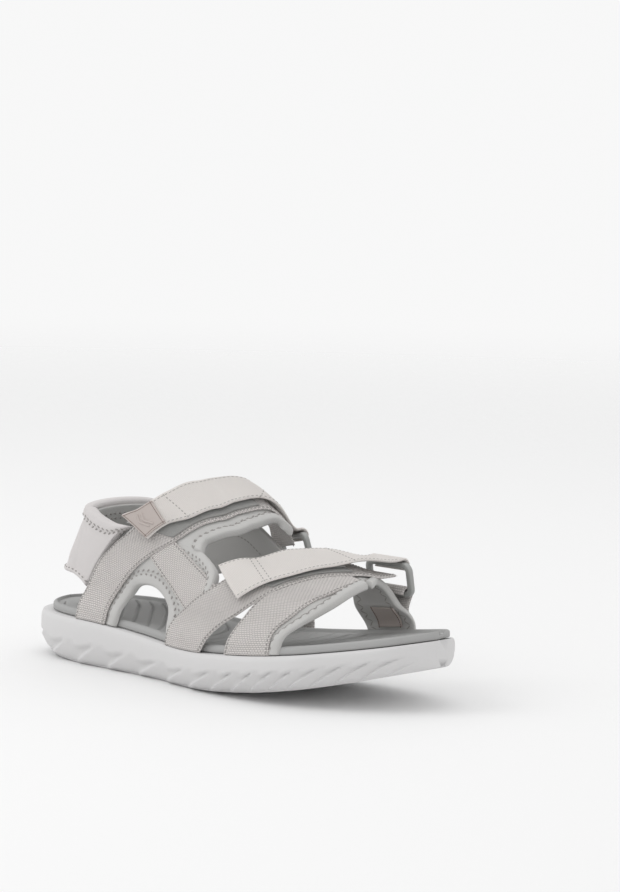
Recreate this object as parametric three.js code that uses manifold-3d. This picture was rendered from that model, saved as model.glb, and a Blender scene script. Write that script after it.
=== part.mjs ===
// A strappy sport sandal (right foot) as an assembly of separate pieces, in millimetres.
// +X runs from heel to toe, +Y to the medial (inner) side, +Z up. The sole's flat stands on z = 0.
// Every upper piece is cut from one foot-shaped surface, the last: a pattern point is a station x
// along the foot and either a height above the footbed rim or a turn u across the foot, where
// u = -1 is the lateral rim, 0 the ridge of the foot and +1 the medial rim.
import * as THREE from "three";
import { mergeVertices } from "three/addons/utils/BufferGeometryUtils.js";
import Module from "manifold-3d";

const wasm = await Module();
wasm.setup();

// ---- Driving sizes ----
const SOLE_LENGTH = 258;
const FOREFOOT_WIDTH = 95;
const INSTEP_HEIGHT = 74;
const HEEL_THICKNESS = 24;
const FOREFOOT_THICKNESS = 19;
const TOE_SPRING = 16;
const TOE_ROCKER = 21.6;
const HEEL_BEVEL = 7.4;
const RIM_HEIGHT = 4.5;
const RIM_INSET = 4.6;
const FOOTBED_DISH = 1.4;
const TOE_INSET_SHARE = 0.35;
const BOARD_THICK = 1.4;
const BOARD_INSET = 10;
const TREAD_THICK = 3;
const PAD_THICK = 2.9;
const PAD_BASE_THICK = 1.2;
const COLLAR_THICK = 4.4;
const LINING_THICK = 1.1;
const WEB_THICK = 1.4;
const TAPE_THICK = 0.6;
const PATCH_THICK = 0.9;
const STRAP_WIDTH = 25;
const RING_BAR = 3;
const RING_SIDE = 3.5;
const RING_GAP = 12;
const WEB_FACE = -0.6;

// ---- Clearances ----
const SEAT_GAP = 0.4;
const LAYER_GAP = 0.5;
const TAPE_GAP = 0.4;
const CLOSURE_GAP = 0.6;
const POCKET_GAP = 0.3;
const STRAP_RING_GAP = 1;
const FOLD_GAP = 0.35;

// ---- Grading from the sample size that the patterns are drawn for ----
const SAMPLE = { length: 258, width: 95, instep: 74 };
const GRADE_X = SOLE_LENGTH / SAMPLE.length;
const GRADE_Y = FOREFOOT_WIDTH / SAMPLE.width;
const GRADE_H = INSTEP_HEIGHT / SAMPLE.instep;

// ---- Colours, roughness ----
const LOOK = {
  foam: [0xf1f1f2, 0.6],
  rubber: [0xdcdcdd, 0.65],
  footbed: [0xa9abac, 0.75],
  board: [0xb9b6b0, 0.9],
  lining: [0xc6c9cb, 0.9],
  panel: [0xcfcac9, 0.9],
  webbing: [0xd2cfcc, 0.85],
  flap: [0xd9d6d2, 0.85],
  tape: [0x9b9c9c, 0.95],
  patch: [0xb9b0ac, 0.6],
  plastic: [0x9a9c9c, 0.4],
};

// ---- Small maths ----
const clamp = (v, low, high) => Math.min(high, Math.max(low, v));
const mix = (a, b, s) => a + (b - a) * s;

function smooth(v) {
  const s = clamp(v, 0, 1);
  return s * s * (3 - 2 * s);
}

// Piecewise cubic through [x, y] points that never overshoots them (Fritsch-Carlson slopes).
function curveThrough(points) {
  const last = points.length - 1;
  const rise = [];
  for (let i = 0; i < last; i++) {
    rise.push((points[i + 1][1] - points[i][1]) / (points[i + 1][0] - points[i][0]));
  }
  const slope = points.map((_, i) => {
    if (i === 0) return rise[0];
    if (i === last) return rise[last - 1];
    const product = rise[i - 1] * rise[i];
    return product <= 0 ? 0 : (2 * product) / (rise[i - 1] + rise[i]);
  });
  return (x) => {
    let i = 0;
    while (i < last - 1 && x > points[i + 1][0]) i++;
    const span = points[i + 1][0] - points[i][0];
    const s = clamp((x - points[i][0]) / span, 0, 1);
    const a = points[i][1];
    const b = points[i + 1][1];
    const bend = s * (1 - s) * ((1 - s) * (slope[i] - rise[i]) - s * (slope[i + 1] - rise[i]));
    return mix(a, b, s) + bend * span;
  };
}

// ---- Sole plan and profile, all in sample stations x = 0..258 ----
const planLateral = curveThrough([
  [0, 1.5], [1, 8.5], [4, 17], [10, 25.5], [19.5, 31.5], [37, 36], [54, 37.5], [79, 37.7], [96, 38],
  [114, 40], [131, 43.8], [155, 47.2], [180, 46.5], [206, 41.5], [223, 31.5], [237, 21.8],
  [246, 14.5], [253, 3.5], [257, -5.5], [258, -11],
]);
const planMedial = curveThrough([
  [0, 1.5], [1, 8.5], [4, 17], [10, 25], [19.5, 30], [37, 35.5], [54, 36.5], [79, 35], [96, 34.5],
  [114, 36], [131, 39], [155, 44], [180, 47.5], [206, 48.5], [223, 46], [237, 41.5], [246, 36.5],
  [253, 30], [257, 25], [258, 21],
]);
const STATIONS = [
  0, 0.8, 2.5, 6, 12, 20, 30, 42, 55, 68, 81, 94, 107, 120, 133, 146, 159, 172, 185, 197, 208,
  218, 227, 235, 242, 248, 253, 256, 257.4, 258,
];

// Height of the midsole's top edge and of its underside at station x.
function midsoleTop(x) {
  const waist = smooth((x - 50) / 90);
  const toe = Math.max(0, (x - 105) / 153);
  return mix(HEEL_THICKNESS, FOREFOOT_THICKNESS, waist) + TOE_SPRING * toe * toe;
}

function midsoleBottom(x) {
  const heel = Math.max(0, (45 - x) / 45);
  const toe = Math.max(0, (x - 120) / 138);
  return HEEL_BEVEL * heel * heel + TOE_ROCKER * toe * toe;
}

const rimTop = (x) => midsoleTop(x) + RIM_HEIGHT;

// ---- The last: where the foot and the upper lie ----
const ridgeHeight = curveThrough([
  [0, 119], [50, 119], [70, 114], [80, 102.5], [95, 82.5], [105, 72.5], [120, 62.5], [135, 55.5],
  [150, 50.5], [165, 45.5], [180, 40.5], [200, 33.5], [225, 24.5],
]);
const ridgeShift = curveThrough([
  [0, 0], [60, 0], [100, 2], [140, 5], [180, 8], [225, 10],
]);
const heelLean = curveThrough([
  [0, 4], [18, 13.5], [57, 37], [90, 46],
]);
const HEEL_RADIUS = 32;
const HEEL_ARC = (HEEL_RADIUS * Math.PI) / 2;
const SIDE_POWER = { lateral: 0.95, medial: 0.72, rise: 0.95 };
const SKIRT_PER_TURN = 100;

// The instep is fuller on the medial side, where the ring lifts the upper off the foot.
const FULLNESS = { station: 125, spread: 28, height: 14, power: 0.16, start: -0.12, over: 0.34 };
const fullness = (x) => Math.exp(-(((x - FULLNESS.station) / FULLNESS.spread) ** 2));

// Height above the rim of turn u at station x, and the turn of a height, both at sample size.
function heightOf(x, u) {
  const rise = Math.sin(((1 - Math.min(1, Math.abs(u))) * Math.PI) / 2);
  const full = FULLNESS.height * fullness(x) * smooth((u - FULLNESS.start) / FULLNESS.over);
  return ridgeHeight(x) * rise ** SIDE_POWER.rise + full * smooth(rise * 1.4);
}

function turnOf(x, height) {
  if (height <= 0) return 1 - height / SKIRT_PER_TURN;
  const share = Math.min(1, height / ridgeHeight(x));
  return 1 - Math.asin(share ** (1 / SIDE_POWER.rise)) / (Math.PI / 2);
}

// Pattern points: [distance along the side from the heel's back, turn].
const along = (x) => x + HEEL_ARC - HEEL_RADIUS;
const lateral = (x, height) => [along(x), -turnOf(x, height)];
const medial = (x, height) => [along(x), turnOf(x, height)];
const across = (x, turn) => [along(x), turn];
const aroundHeel = (distance, height) => [
  distance,
  -turnOf(Math.max(HEEL_RADIUS, Math.abs(distance) - HEEL_ARC + HEEL_RADIUS), height),
];

// The last's point at distance t along the side and turn u. A negative t runs on round the heel.
function lastPoint(t, u) {
  if (t < 0) return lastPoint(-t, -u);
  const turned = t / HEEL_RADIUS;
  const inHeel = t < HEEL_ARC;
  const x = inHeel ? HEEL_RADIUS * (1 - Math.cos(turned)) : t - HEEL_ARC + HEEL_RADIUS;
  const plan = u < 0 ? planLateral : planMedial;
  const heelWidth = plan(HEEL_RADIUS) - RIM_INSET / GRADE_Y;
  const width = inHeel ? heelWidth * Math.sin(turned) : plan(x) - RIM_INSET / GRADE_Y;
  const shape = Math.max(x, HEEL_RADIUS);
  const angle = ((1 - Math.min(1, Math.abs(u))) * Math.PI) / 2;
  const height = heightOf(shape, u);
  const ridge = ridgeShift(x);
  const medialPower = SIDE_POWER.medial - FULLNESS.power * fullness(x);
  const side = u < 0
    ? -(width + ridge) * Math.cos(angle) ** SIDE_POWER.lateral
    : (width - ridge) * Math.cos(angle) ** medialPower;
  const lean = clamp(1 - x / 70, 0, 1) ** 1.5 * heelLean(height);
  const skirt = Math.max(0, Math.abs(u) - 1) * SKIRT_PER_TURN;
  return new THREE.Vector3(
    (x + lean) * GRADE_X,
    (ridge + side) * GRADE_Y,
    rimTop(x) + height * GRADE_H - skirt,
  );
}

function lastNormal(t, u) {
  const du = 0.012;
  const dt = 0.6;
  const up = lastPoint(t, u + du).sub(lastPoint(t, u - du));
  const forward = lastPoint(t + dt, u).sub(lastPoint(t - dt, u));
  return forward.cross(up).normalize();
}

// ---- Layers, as [inner, outer] distances from the last, low at the rim and high above it ----
function stack(inner, thickness) {
  return [inner, inner + thickness];
}
const webHigh = [WEB_FACE - WEB_THICK, WEB_FACE];
const padHigh = stack(webHigh[0] - LAYER_GAP - PAD_THICK, PAD_THICK);
const padLow = stack(SEAT_GAP, PAD_BASE_THICK);
const webLow = stack(padLow[1] + SEAT_GAP, WEB_THICK);
const loopHigh = stack(WEB_FACE + TAPE_GAP, TAPE_THICK);
const hookHigh = stack(loopHigh[1] + CLOSURE_GAP, TAPE_THICK);
const flapHigh = stack(hookHigh[1] + TAPE_GAP, WEB_THICK);
const patchHigh = stack(flapHigh[1] + TAPE_GAP, PATCH_THICK);
const collarHigh = [webHigh[0] - LAYER_GAP - COLLAR_THICK, webHigh[0] - LAYER_GAP];
const liningHigh = [collarHigh[0] - LAYER_GAP - LINING_THICK, collarHigh[0] - LAYER_GAP];
const insideLow = stack(padLow[0] - LAYER_GAP - PATCH_THICK, PATCH_THICK);
const insideHigh = stack(padHigh[0] - LAYER_GAP - PATCH_THICK, PATCH_THICK);
const LAYERS = {
  pad: [padLow, padHigh],
  web: [webLow, webHigh],
  loop: [loopHigh, loopHigh],
  hook: [hookHigh, hookHigh],
  flap: [flapHigh, flapHigh],
  patch: [patchHigh, patchHigh],
  collar: [collarHigh, collarHigh],
  lining: [liningHigh, liningHigh],
  inside: [insideLow, insideHigh],
};
const LEAN_IN = { from: 1, over: 15 };

function layerAt(layer, height) {
  const s = smooth((height - LEAN_IN.from) / LEAN_IN.over);
  const [low, high] = LAYERS[layer];
  return [mix(low[0], high[0], s), mix(low[1], high[1], s)];
}

// ---- Closed ribbons from two grids of points ----
function closedSlab(inner, outer) {
  const rows = outer.length;
  const columns = outer[0].length;
  const positions = [];
  for (const grid of [outer, inner]) {
    for (const row of grid) {
      for (const p of row) positions.push(p.x, p.y, p.z);
    }
  }
  const at = (side, i, j) => side * rows * columns + i * columns + j;
  const index = [];
  const quad = (a, b, c, d) => index.push(a, b, c, a, c, d);
  for (let i = 0; i + 1 < rows; i++) {
    for (let j = 0; j + 1 < columns; j++) {
      quad(at(0, i, j), at(0, i + 1, j), at(0, i + 1, j + 1), at(0, i, j + 1));
      quad(at(1, i, j), at(1, i, j + 1), at(1, i + 1, j + 1), at(1, i + 1, j));
    }
    quad(at(0, i, 0), at(1, i, 0), at(1, i + 1, 0), at(0, i + 1, 0));
    const last = columns - 1;
    quad(at(0, i, last), at(0, i + 1, last), at(1, i + 1, last), at(1, i, last));
  }
  for (let j = 0; j + 1 < columns; j++) {
    quad(at(0, 0, j), at(0, 0, j + 1), at(1, 0, j + 1), at(1, 0, j));
    quad(at(0, rows - 1, j), at(1, rows - 1, j), at(1, rows - 1, j + 1), at(0, rows - 1, j + 1));
  }
  const geometry = new THREE.BufferGeometry();
  geometry.setAttribute("position", new THREE.Float32BufferAttribute(positions, 3));
  geometry.setIndex(index);
  return outwards(geometry);
}

function signedVolume(geometry) {
  const p = geometry.getAttribute("position");
  const index = geometry.getIndex();
  const corner = [new THREE.Vector3(), new THREE.Vector3(), new THREE.Vector3()];
  let sum = 0;
  for (let i = 0; i < index.count; i += 3) {
    corner.forEach((v, k) => v.fromBufferAttribute(p, index.getX(i + k)));
    sum += corner[0].dot(corner[1].clone().cross(corner[2])) / 6;
  }
  return sum;
}

// Turns every face round when the body is inside out.
function outwards(geometry) {
  if (signedVolume(geometry) > 0) return geometry;
  const index = geometry.getIndex();
  for (let i = 0; i < index.count; i += 3) {
    const b = index.getX(i + 1);
    index.setX(i + 1, index.getX(i + 2));
    index.setX(i + 2, b);
  }
  return geometry;
}

// ---- Patterns: two edges with matching points, a row for each step along them ----
function edgeCurve(points) {
  const spread = points.map(([t, u]) => new THREE.Vector3(t, u * 100, 0));
  return new THREE.CatmullRomCurve3(spread, false, "centripetal");
}

function patternRows(edges, rows, columns, from = 0, to = 1, margin = 0) {
  const [a, b] = edges.map(edgeCurve);
  return Array.from({ length: rows + 1 }, (_, i) => {
    const s = mix(from, to, i / rows);
    const p = a.getPoint(s);
    const q = b.getPoint(s);
    return Array.from({ length: columns + 1 }, (_, j) => {
      const w = mix(margin, 1 - margin, j / columns);
      return [mix(p.x, q.x, w), mix(p.y, q.y, w) / 100];
    });
  });
}

// Places pattern rows on one layer: the two faces' points.
function onLayer(rows, layer) {
  const faces = [[], []];
  for (const row of rows) {
    const pair = row.map(([t, u]) => {
      const p = lastPoint(t, u);
      const n = lastNormal(t, u);
      const x = Math.max(HEEL_RADIUS, Math.abs(t) - HEEL_ARC + HEEL_RADIUS);
      const height = Math.abs(u) > 1 ? 0 : heightOf(x, u) * GRADE_H;
      return layerAt(layer, height).map((d) => p.clone().addScaledVector(n, d));
    });
    faces[0].push(pair.map((v) => v[0]));
    faces[1].push(pair.map((v) => v[1]));
  }
  return faces;
}

function patch(layer, edges, rows, columns, from, to, margin) {
  const [inner, outer] = onLayer(patternRows(edges, rows, columns, from, to, margin), layer);
  return closedSlab(inner, outer);
}

// ---- Rings: a rectangular plastic loop, held by its keeper bar, that a flap folds round ----
function ringFrame(centre, axis, rise) {
  const bar = new THREE.Vector3(...axis).normalize();
  const up = new THREE.Vector3(...rise);
  up.addScaledVector(bar, -up.dot(bar)).normalize();
  const out = up.clone().cross(bar).normalize();
  const [x, y, h] = centre;
  const outer = new THREE.Vector3(x * GRADE_X, y * GRADE_Y, rimTop(x) + h * GRADE_H);
  const keeper = outer.clone().addScaledVector(up, -(RING_GAP + RING_BAR));
  return { bar, up, out, outer, keeper };
}

const INSTEP_RING = ringFrame([134, 38, 47], [0.9, -0.36, 0.18], [-0.25, -0.12, 0.96]);
const FOREFOOT_RING = ringFrame([198, 41.5, 34.5], [0.99, -0.12, 0.02], [-0.05, -0.16, 0.985]);
const RING_INNER_WIDTH = STRAP_WIDTH + 2 * STRAP_RING_GAP;
const FOLD_RADIUS = RING_BAR * Math.SQRT1_2 + FOLD_GAP;

function roundedRectangle(width, height, radius) {
  const shape = new THREE.Shape();
  const x = width / 2 - radius;
  const y = height / 2 - radius;
  shape.absarc(x, y, radius, 0, Math.PI / 2);
  shape.absarc(-x, y, radius, Math.PI / 2, Math.PI);
  shape.absarc(-x, -y, radius, Math.PI, 1.5 * Math.PI);
  shape.absarc(x, -y, radius, 1.5 * Math.PI, 2 * Math.PI);
  return shape;
}

function ringGeometry(frame) {
  const width = RING_INNER_WIDTH + 2 * RING_SIDE;
  const shape = roundedRectangle(width, RING_GAP + 2 * RING_BAR, RING_BAR);
  shape.holes.push(roundedRectangle(RING_INNER_WIDTH, RING_GAP, 1));
  const profile = { depth: RING_BAR, bevelEnabled: false, curveSegments: 3 };
  const flat = new THREE.ExtrudeGeometry(shape, profile);
  const centre = frame.outer.clone().lerp(frame.keeper, 0.5);
  centre.addScaledVector(frame.out, RING_BAR / 2);
  const inwards = frame.out.clone().negate();
  const placed = new THREE.Matrix4().makeBasis(frame.bar, frame.up, inwards).setPosition(centre);
  return flat.applyMatrix4(placed);
}

// A smooth run from the last row on the foot to a row of end points: it leaves along the strap and
// arrives along each end point's own direction.
function bridge(start, before, ends, arrivals, steps) {
  return Array.from({ length: steps }, (_, k) => start.map((p, j) => {
    const pull = p.distanceTo(ends[j]) / 3;
    const leave = p.clone().sub(before[j]).setLength(pull).add(p);
    const arrive = arrivals[j].clone().setLength(pull).negate().add(ends[j]);
    return new THREE.CubicBezierCurve3(p, leave, arrive, ends[j]).getPoint((k + 1) / steps);
  }));
}

// A row of points as wide as a strap, along a ring's bar through a centre.
function rowAlong(frame, centre, columns) {
  return Array.from({ length: columns }, (_, j) => centre
    .clone()
    .addScaledVector(frame.bar, (j / (columns - 1) - 0.5) * STRAP_WIDTH));
}

// Rows of a strap's middle surface that run on from its last row on the foot to a bar, meet it at
// the angle from, and turn round it by turn. Angles go from the ring's outward side towards its up.
function rowsToBar(rows, frame, centre, { reach, from, turn, steps }) {
  const start = rows[rows.length - 1];
  const before = rows[rows.length - 2];
  const radius = FOLD_RADIUS + WEB_THICK / 2;
  const spoke = (angle) => frame.up
    .clone()
    .multiplyScalar(Math.sin(angle))
    .addScaledVector(frame.out, Math.cos(angle));
  const rowAt = (angle) => {
    const middle = centre.clone().addScaledVector(spoke(angle), radius);
    return rowAlong(frame, middle, start.length);
  };
  const leaving = spoke(from + (Math.sign(turn) * Math.PI) / 2);
  const run = bridge(start, before, rowAt(from), start.map(() => leaving), reach);
  const fold = Array.from({ length: steps }, (_, k) => rowAt(from + (turn * (k + 1)) / steps));
  return [...run, ...fold];
}

// A ribbon of even thickness about rows of middle points.
function ribbon(rows, thickness) {
  const normalAt = (i, j) => {
    const ahead = rows[Math.min(i + 1, rows.length - 1)][j];
    const beside = rows[i][Math.min(j + 1, rows[i].length - 1)];
    const next = ahead.clone().sub(rows[Math.max(i - 1, 0)][j]);
    const side = beside.clone().sub(rows[i][Math.max(j - 1, 0)]);
    return next.cross(side).normalize();
  };
  const face = (distance) => rows.map((row, i) => row.map((p, j) => {
    return p.clone().addScaledVector(normalAt(i, j), distance);
  }));
  return closedSlab(face(-thickness / 2), face(thickness / 2));
}

function middleRows(edges, layer, rows, columns, from, to) {
  const [inner, outer] = onLayer(patternRows(edges, rows, columns, from, to), layer);
  return outer.map((row, i) => row.map((p, j) => p.clone().lerp(inner[i][j], 0.5)));
}

// A strap that lies on one layer of the foot, reaches a ring's bar and folds round it.
function strapOverBar(edges, layer, rows, columns, frame, centre, approach) {
  const onFoot = middleRows(edges, layer, rows, columns);
  return ribbon([...onFoot, ...rowsToBar(onFoot, frame, centre, approach)], WEB_THICK);
}

// ---- Patterns of the upper, for the sample size ----
const SOLE_LINE = -4.1;
const ARCH_HOLE = [
  [77.5, SOLE_LINE], [81, 6], [86, 15], [90, 19.5], [97, 21.3], [104, 20.3], [110.5, 17],
  [115, 12], [118.5, 4], [120, SOLE_LINE],
];
const pattern = (place, points) => points.map(([x, height]) => place(x, height));
const LATERAL_QUARTER = [
  pattern(lateral, [
    [48, SOLE_LINE], [50, 7], [67, 30], [85, 51], [103, 49], [125, 46.3], [144, 36], [146, 24],
    [141, 8], [138, SOLE_LINE],
  ]),
  pattern(lateral, ARCH_HOLE),
];
const MEDIAL_QUARTER = [
  [
    ...pattern(medial, [[48, SOLE_LINE], [50, 7], [67, 30], [85, 49.5]]),
    across(100, 0.61), across(116, 0.6), across(131, 0.63), across(142, 0.66),
    ...pattern(medial, [[144, 12], [143, SOLE_LINE]]),
  ],
  pattern(medial, ARCH_HOLE),
];
const INSTEP_PAD = [
  [
    lateral(79, 53), across(98, -0.36), across(106, -0.02), across(114, 0.12), across(121, 0.22),
    across(124, 0.27),
  ],
  [
    lateral(127, 48.5), across(131, -0.28), across(138, -0.02), across(143, 0.12),
    across(147, 0.22), across(148.5, 0.27),
  ],
];
const REAR_LEG = [
  [
    ...pattern(lateral, [[50, SOLE_LINE], [53, 11], [59, 26], [71, 38], [83, 49]]),
    across(99, -0.27), across(108, -0.02), across(115, 0.12), across(122, 0.24),
  ],
  [
    ...pattern(lateral, [[70, SOLE_LINE], [74, 10], [82, 22], [96, 36], [112, 48]]),
    across(122, -0.24), across(128, -0.02), across(136, 0.12), across(142, 0.24),
  ],
];
const INSTEP_FLAP = [
  [
    lateral(77, 54), lateral(86, 58.5), across(97, -0.36), across(105, -0.02), across(111, 0.12),
    across(119, 0.22),
  ],
  [
    lateral(96, 44.5), lateral(106, 52), across(115, -0.35), across(122, -0.02),
    across(131, 0.12), across(139, 0.22),
  ],
];
const SIDE_PANEL = [
  pattern(lateral, [[97.5, 34.5], [106, 28.5], [116, 22.5], [127, 16]]),
  pattern(lateral, [[115, 47], [125, 42], [135, 36.5], [146, 30.5]]),
];
const FRONT_LEG = [
  [
    ...pattern(lateral, [[119, SOLE_LINE], [123, 9], [133, 19], [149, 30]]),
    across(160, -0.4), across(168, -0.18), across(175, 0.02), across(181, 0.16),
  ],
  [
    ...pattern(lateral, [[150, SOLE_LINE], [159, 9], [169, 17], [178, 24]]),
    across(190, -0.4), across(199, -0.18), across(205, 0.02), across(208, 0.16),
  ],
];
const FOREFOOT_FLAP = [
  [
    ...pattern(lateral, [[147, 37], [156, 40]]),
    across(164, -0.33), across(170, -0.14), across(176, 0.04), across(181, 0.16),
  ],
  [
    ...pattern(lateral, [[169, 22], [178, 28]]),
    across(189, -0.36), across(196, -0.15), across(201, 0.04), across(204, 0.16),
  ],
];
const TOE_LEG = [
  [
    ...pattern(lateral, [[166, SOLE_LINE], [170, 8], [175.5, 17], [182.5, 24]]),
    across(193, -0.43), across(202, -0.22), across(208, -0.02),
  ],
  [
    ...pattern(lateral, [[194, SOLE_LINE], [195.5, 7], [201.5, 15.5], [207, 22.5]]),
    across(210.5, -0.38), across(212.5, -0.2), across(213.5, -0.02),
  ],
];
const FOREFOOT_PAD = [
  [
    ...pattern(lateral, [[178, SOLE_LINE], [180, 8], [184, 17], [189, 23]]),
    across(193, -0.42), across(197, -0.22), across(199, -0.02),
  ],
  [
    ...pattern(lateral, [[199.5, SOLE_LINE], [202, 4.5], [208, 10.5], [214, 16.5]]),
    across(217, -0.45), across(217, -0.22), across(215, -0.02),
  ],
];
const MEDIAL_FOREFOOT_PAD = [
  [
    across(186, 0.01), across(183, 0.2), across(181, 0.42),
    ...pattern(medial, [[179, 15], [180, 7], [184, SOLE_LINE]]),
  ],
  [
    across(215, 0.01), across(208, 0.2), across(206.5, 0.42),
    ...pattern(medial, [[209, 15], [213, 8], [215, SOLE_LINE]]),
  ],
];
const MEDIAL_REAR_LEG = [
  [...pattern(medial, [[50, SOLE_LINE], [53, 11], [61, 26], [76, 38], [98, 44]]), across(118, 0.62)],
  pattern(medial, [[70, SOLE_LINE], [74, 10], [84, 21], [98, 27], [110, 26], [121, 20]]),
];
const INSTEP_KEEPER = [
  pattern(medial, [[124, SOLE_LINE], [124.5, 2], [125, 5], [125, 8]]),
  pattern(medial, [[149, SOLE_LINE], [149, 2], [149, 5], [149, 8]]),
];
const FOREFOOT_KEEPER = [
  pattern(medial, [[186, SOLE_LINE], [186, 2], [186, 5], [186, 8]]),
  pattern(medial, [[211, SOLE_LINE], [211, 2], [211, 5], [211, 8]]),
];
const INNER_PATCH = [
  pattern(medial, [[191, 1.5], [191, 14]]),
  pattern(medial, [[207, 1.5], [207, 14]]),
];
const COLLAR_LOWER = [[65, 12], [60, 14.5], [49, 17.5], [28, 18.5], [0, 18.5]];
const COLLAR_UPPER = [[99.5, 49], [90, 48.5], [76, 50], [50, 54.5], [0, 58]];

// Both halves of a collar edge, from the lateral end round the heel to the medial one.
function collarEdge(points, shift) {
  const half = points.map(([t, h]) => [t, h + shift]);
  const back = half.slice(0, -1).reverse().map(([t, h]) => [-t, h]);
  return [...half, ...back].map(([t, h]) => aroundHeel(t, h));
}
const collarEdges = (inset) => [collarEdge(COLLAR_LOWER, inset), collarEdge(COLLAR_UPPER, -inset)];

// ---- Sole pieces: sections at stations along the foot ----
// A section is a list of points [side, in from the outline, z] where side is -1 lateral, +1 medial.
function lofted(inset, sectionAt) {
  const rings = STATIONS.map((station) => {
    const x = mix(inset, SAMPLE.length - inset * TOE_INSET_SHARE, station / SAMPLE.length);
    const low = -planLateral(station) * GRADE_Y;
    const high = planMedial(station) * GRADE_Y;
    const half = (high - low) / 2;
    const shrink = Math.max(0.12, 1 - inset / half);
    return sectionAt(x).map(([side, inward, z]) => {
      const reach = (shrink * half) / (half + inward);
      return new THREE.Vector3(x * GRADE_X, (low + high) / 2 + side * half * reach, z);
    });
  });
  const count = rings[0].length;
  const index = [];
  for (let i = 0; i + 1 < rings.length; i++) {
    for (let j = 0; j < count; j++) {
      const a = i * count + j;
      const b = i * count + ((j + 1) % count);
      index.push(a, b, b + count, a, b + count, a + count);
    }
  }
  for (const [start, flip] of [[0, true], [(rings.length - 1) * count, false]]) {
    const flat = rings[start / count].map((p) => new THREE.Vector2(p.y, p.z));
    const order = Math.sign(THREE.ShapeUtils.area(flat)) * (flip ? -1 : 1);
    for (const face of THREE.ShapeUtils.triangulateShape(flat, [])) {
      const same = THREE.ShapeUtils.area(face.map((k) => flat[k])) * order > 0;
      const [a, b, c] = same ? face : [face[0], face[2], face[1]];
      index.push(start + a, start + b, start + c);
    }
  }
  const geometry = new THREE.BufferGeometry();
  const positions = rings.flat().flatMap((p) => [p.x, p.y, p.z]);
  geometry.setAttribute("position", new THREE.Float32BufferAttribute(positions, 3));
  geometry.setIndex(index);
  return outwards(geometry);
}

// Mirrors a half section, listed from the underside's middle up and over to the top's middle.
function bothSides(half) {
  const sideOf = (side) => half.map(([inward, z]) => [side, inward, z]);
  return [...sideOf(-1), ...sideOf(1).reverse()];
}

function midsoleGeometry() {
  return lofted(0, (x) => {
    const low = midsoleBottom(x);
    const high = midsoleTop(x);
    const level = (share) => mix(low, high, share);
    return bothSides([
      [7, low], [2.8, level(0.1)], [0.7, level(0.3)], [0, level(0.62)], [0.4, level(0.9)],
      [1.6, high],
    ]);
  });
}

function footbedGeometry() {
  return lofted(RIM_INSET, (x) => {
    const seat = midsoleTop(x) + SEAT_GAP;
    const rim = rimTop(x);
    const hollow = BOARD_INSET - RIM_INSET - SEAT_GAP;
    return bothSides([
      [hollow, seat + BOARD_THICK + SEAT_GAP], [hollow, seat], [0.8, seat], [0, seat + 1.2],
      [0.3, rim - 1.2], [1.8, rim], [4.5, rim - 0.4], [11, rim - FOOTBED_DISH],
    ]);
  });
}

function boardGeometry() {
  return lofted(BOARD_INSET, (x) => {
    const seat = midsoleTop(x) + SEAT_GAP / 2;
    return bothSides([[0, seat], [0, seat + BOARD_THICK]]);
  });
}

// ---- Tread inserts, let into pockets in the underside ----
function roundedPolygon(corners, radius) {
  const shape = new THREE.Shape();
  corners.forEach((corner, i) => {
    const before = corners[(i + corners.length - 1) % corners.length];
    const after = corners[(i + 1) % corners.length];
    const enter = corner.clone().add(before.clone().sub(corner).setLength(radius));
    const leave = corner.clone().add(after.clone().sub(corner).setLength(radius));
    if (i === 0) shape.moveTo(enter.x, enter.y);
    else shape.lineTo(enter.x, enter.y);
    shape.quadraticCurveTo(corner.x, corner.y, leave.x, leave.y);
  });
  shape.closePath();
  return shape;
}

const INSERTS = [
  { name: "heel_tread_insert", at: [35, 0], corners: [[-17, 20], [24, 0], [-17, -20]], radius: 9 },
  ...[[183, -16], [161, -23], [144, -16], [188, -2]].map((at, i) => ({
    name: `forefoot_tread_insert_${i + 1}`, at, corners: [[-9, 0], [0, 4], [9, 0], [0, -4]], radius: 1.5,
  })),
];

function insertPrism(insert, spread, depth) {
  const corners = insert.corners.map(([x, y]) => {
    const corner = new THREE.Vector2(x, y);
    return corner.setLength(corner.length() + spread * 1.6);
  });
  const shape = roundedPolygon(corners, insert.radius);
  const [x, y] = insert.at;
  const top = midsoleBottom(x) + depth;
  const profile = { depth: top + 10, bevelEnabled: false, curveSegments: 3 };
  const prism = new THREE.ExtrudeGeometry(shape, profile);
  return prism.translate(x * GRADE_X, y * GRADE_Y, -10);
}

// ---- Booleans ----
function solidOf(geometry) {
  const bare = geometry.clone();
  for (const name of Object.keys(bare.attributes)) {
    if (name !== "position") bare.deleteAttribute(name);
  }
  const merged = mergeVertices(bare, 1e-4);
  return new wasm.Manifold(new wasm.Mesh({
    numProp: 3,
    vertProperties: merged.getAttribute("position").array,
    triVerts: new Uint32Array(merged.getIndex().array),
  }));
}

function geometryOf(solid) {
  const mesh = solid.getMesh();
  const geometry = new THREE.BufferGeometry();
  geometry.setAttribute("position", new THREE.BufferAttribute(new Float32Array(mesh.vertProperties), 3));
  geometry.setIndex(new THREE.BufferAttribute(new Uint32Array(mesh.triVerts), 1));
  return geometry;
}

// ---- Assembly ----
const sandal = new THREE.Group();

function addPiece(name, geometry, look) {
  const [color, roughness] = LOOK[look];
  const finish = new THREE.MeshStandardMaterial({ color, roughness, metalness: 0 });
  const piece = new THREE.Mesh(geometry, finish);
  piece.name = name;
  sandal.add(piece);
}

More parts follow.
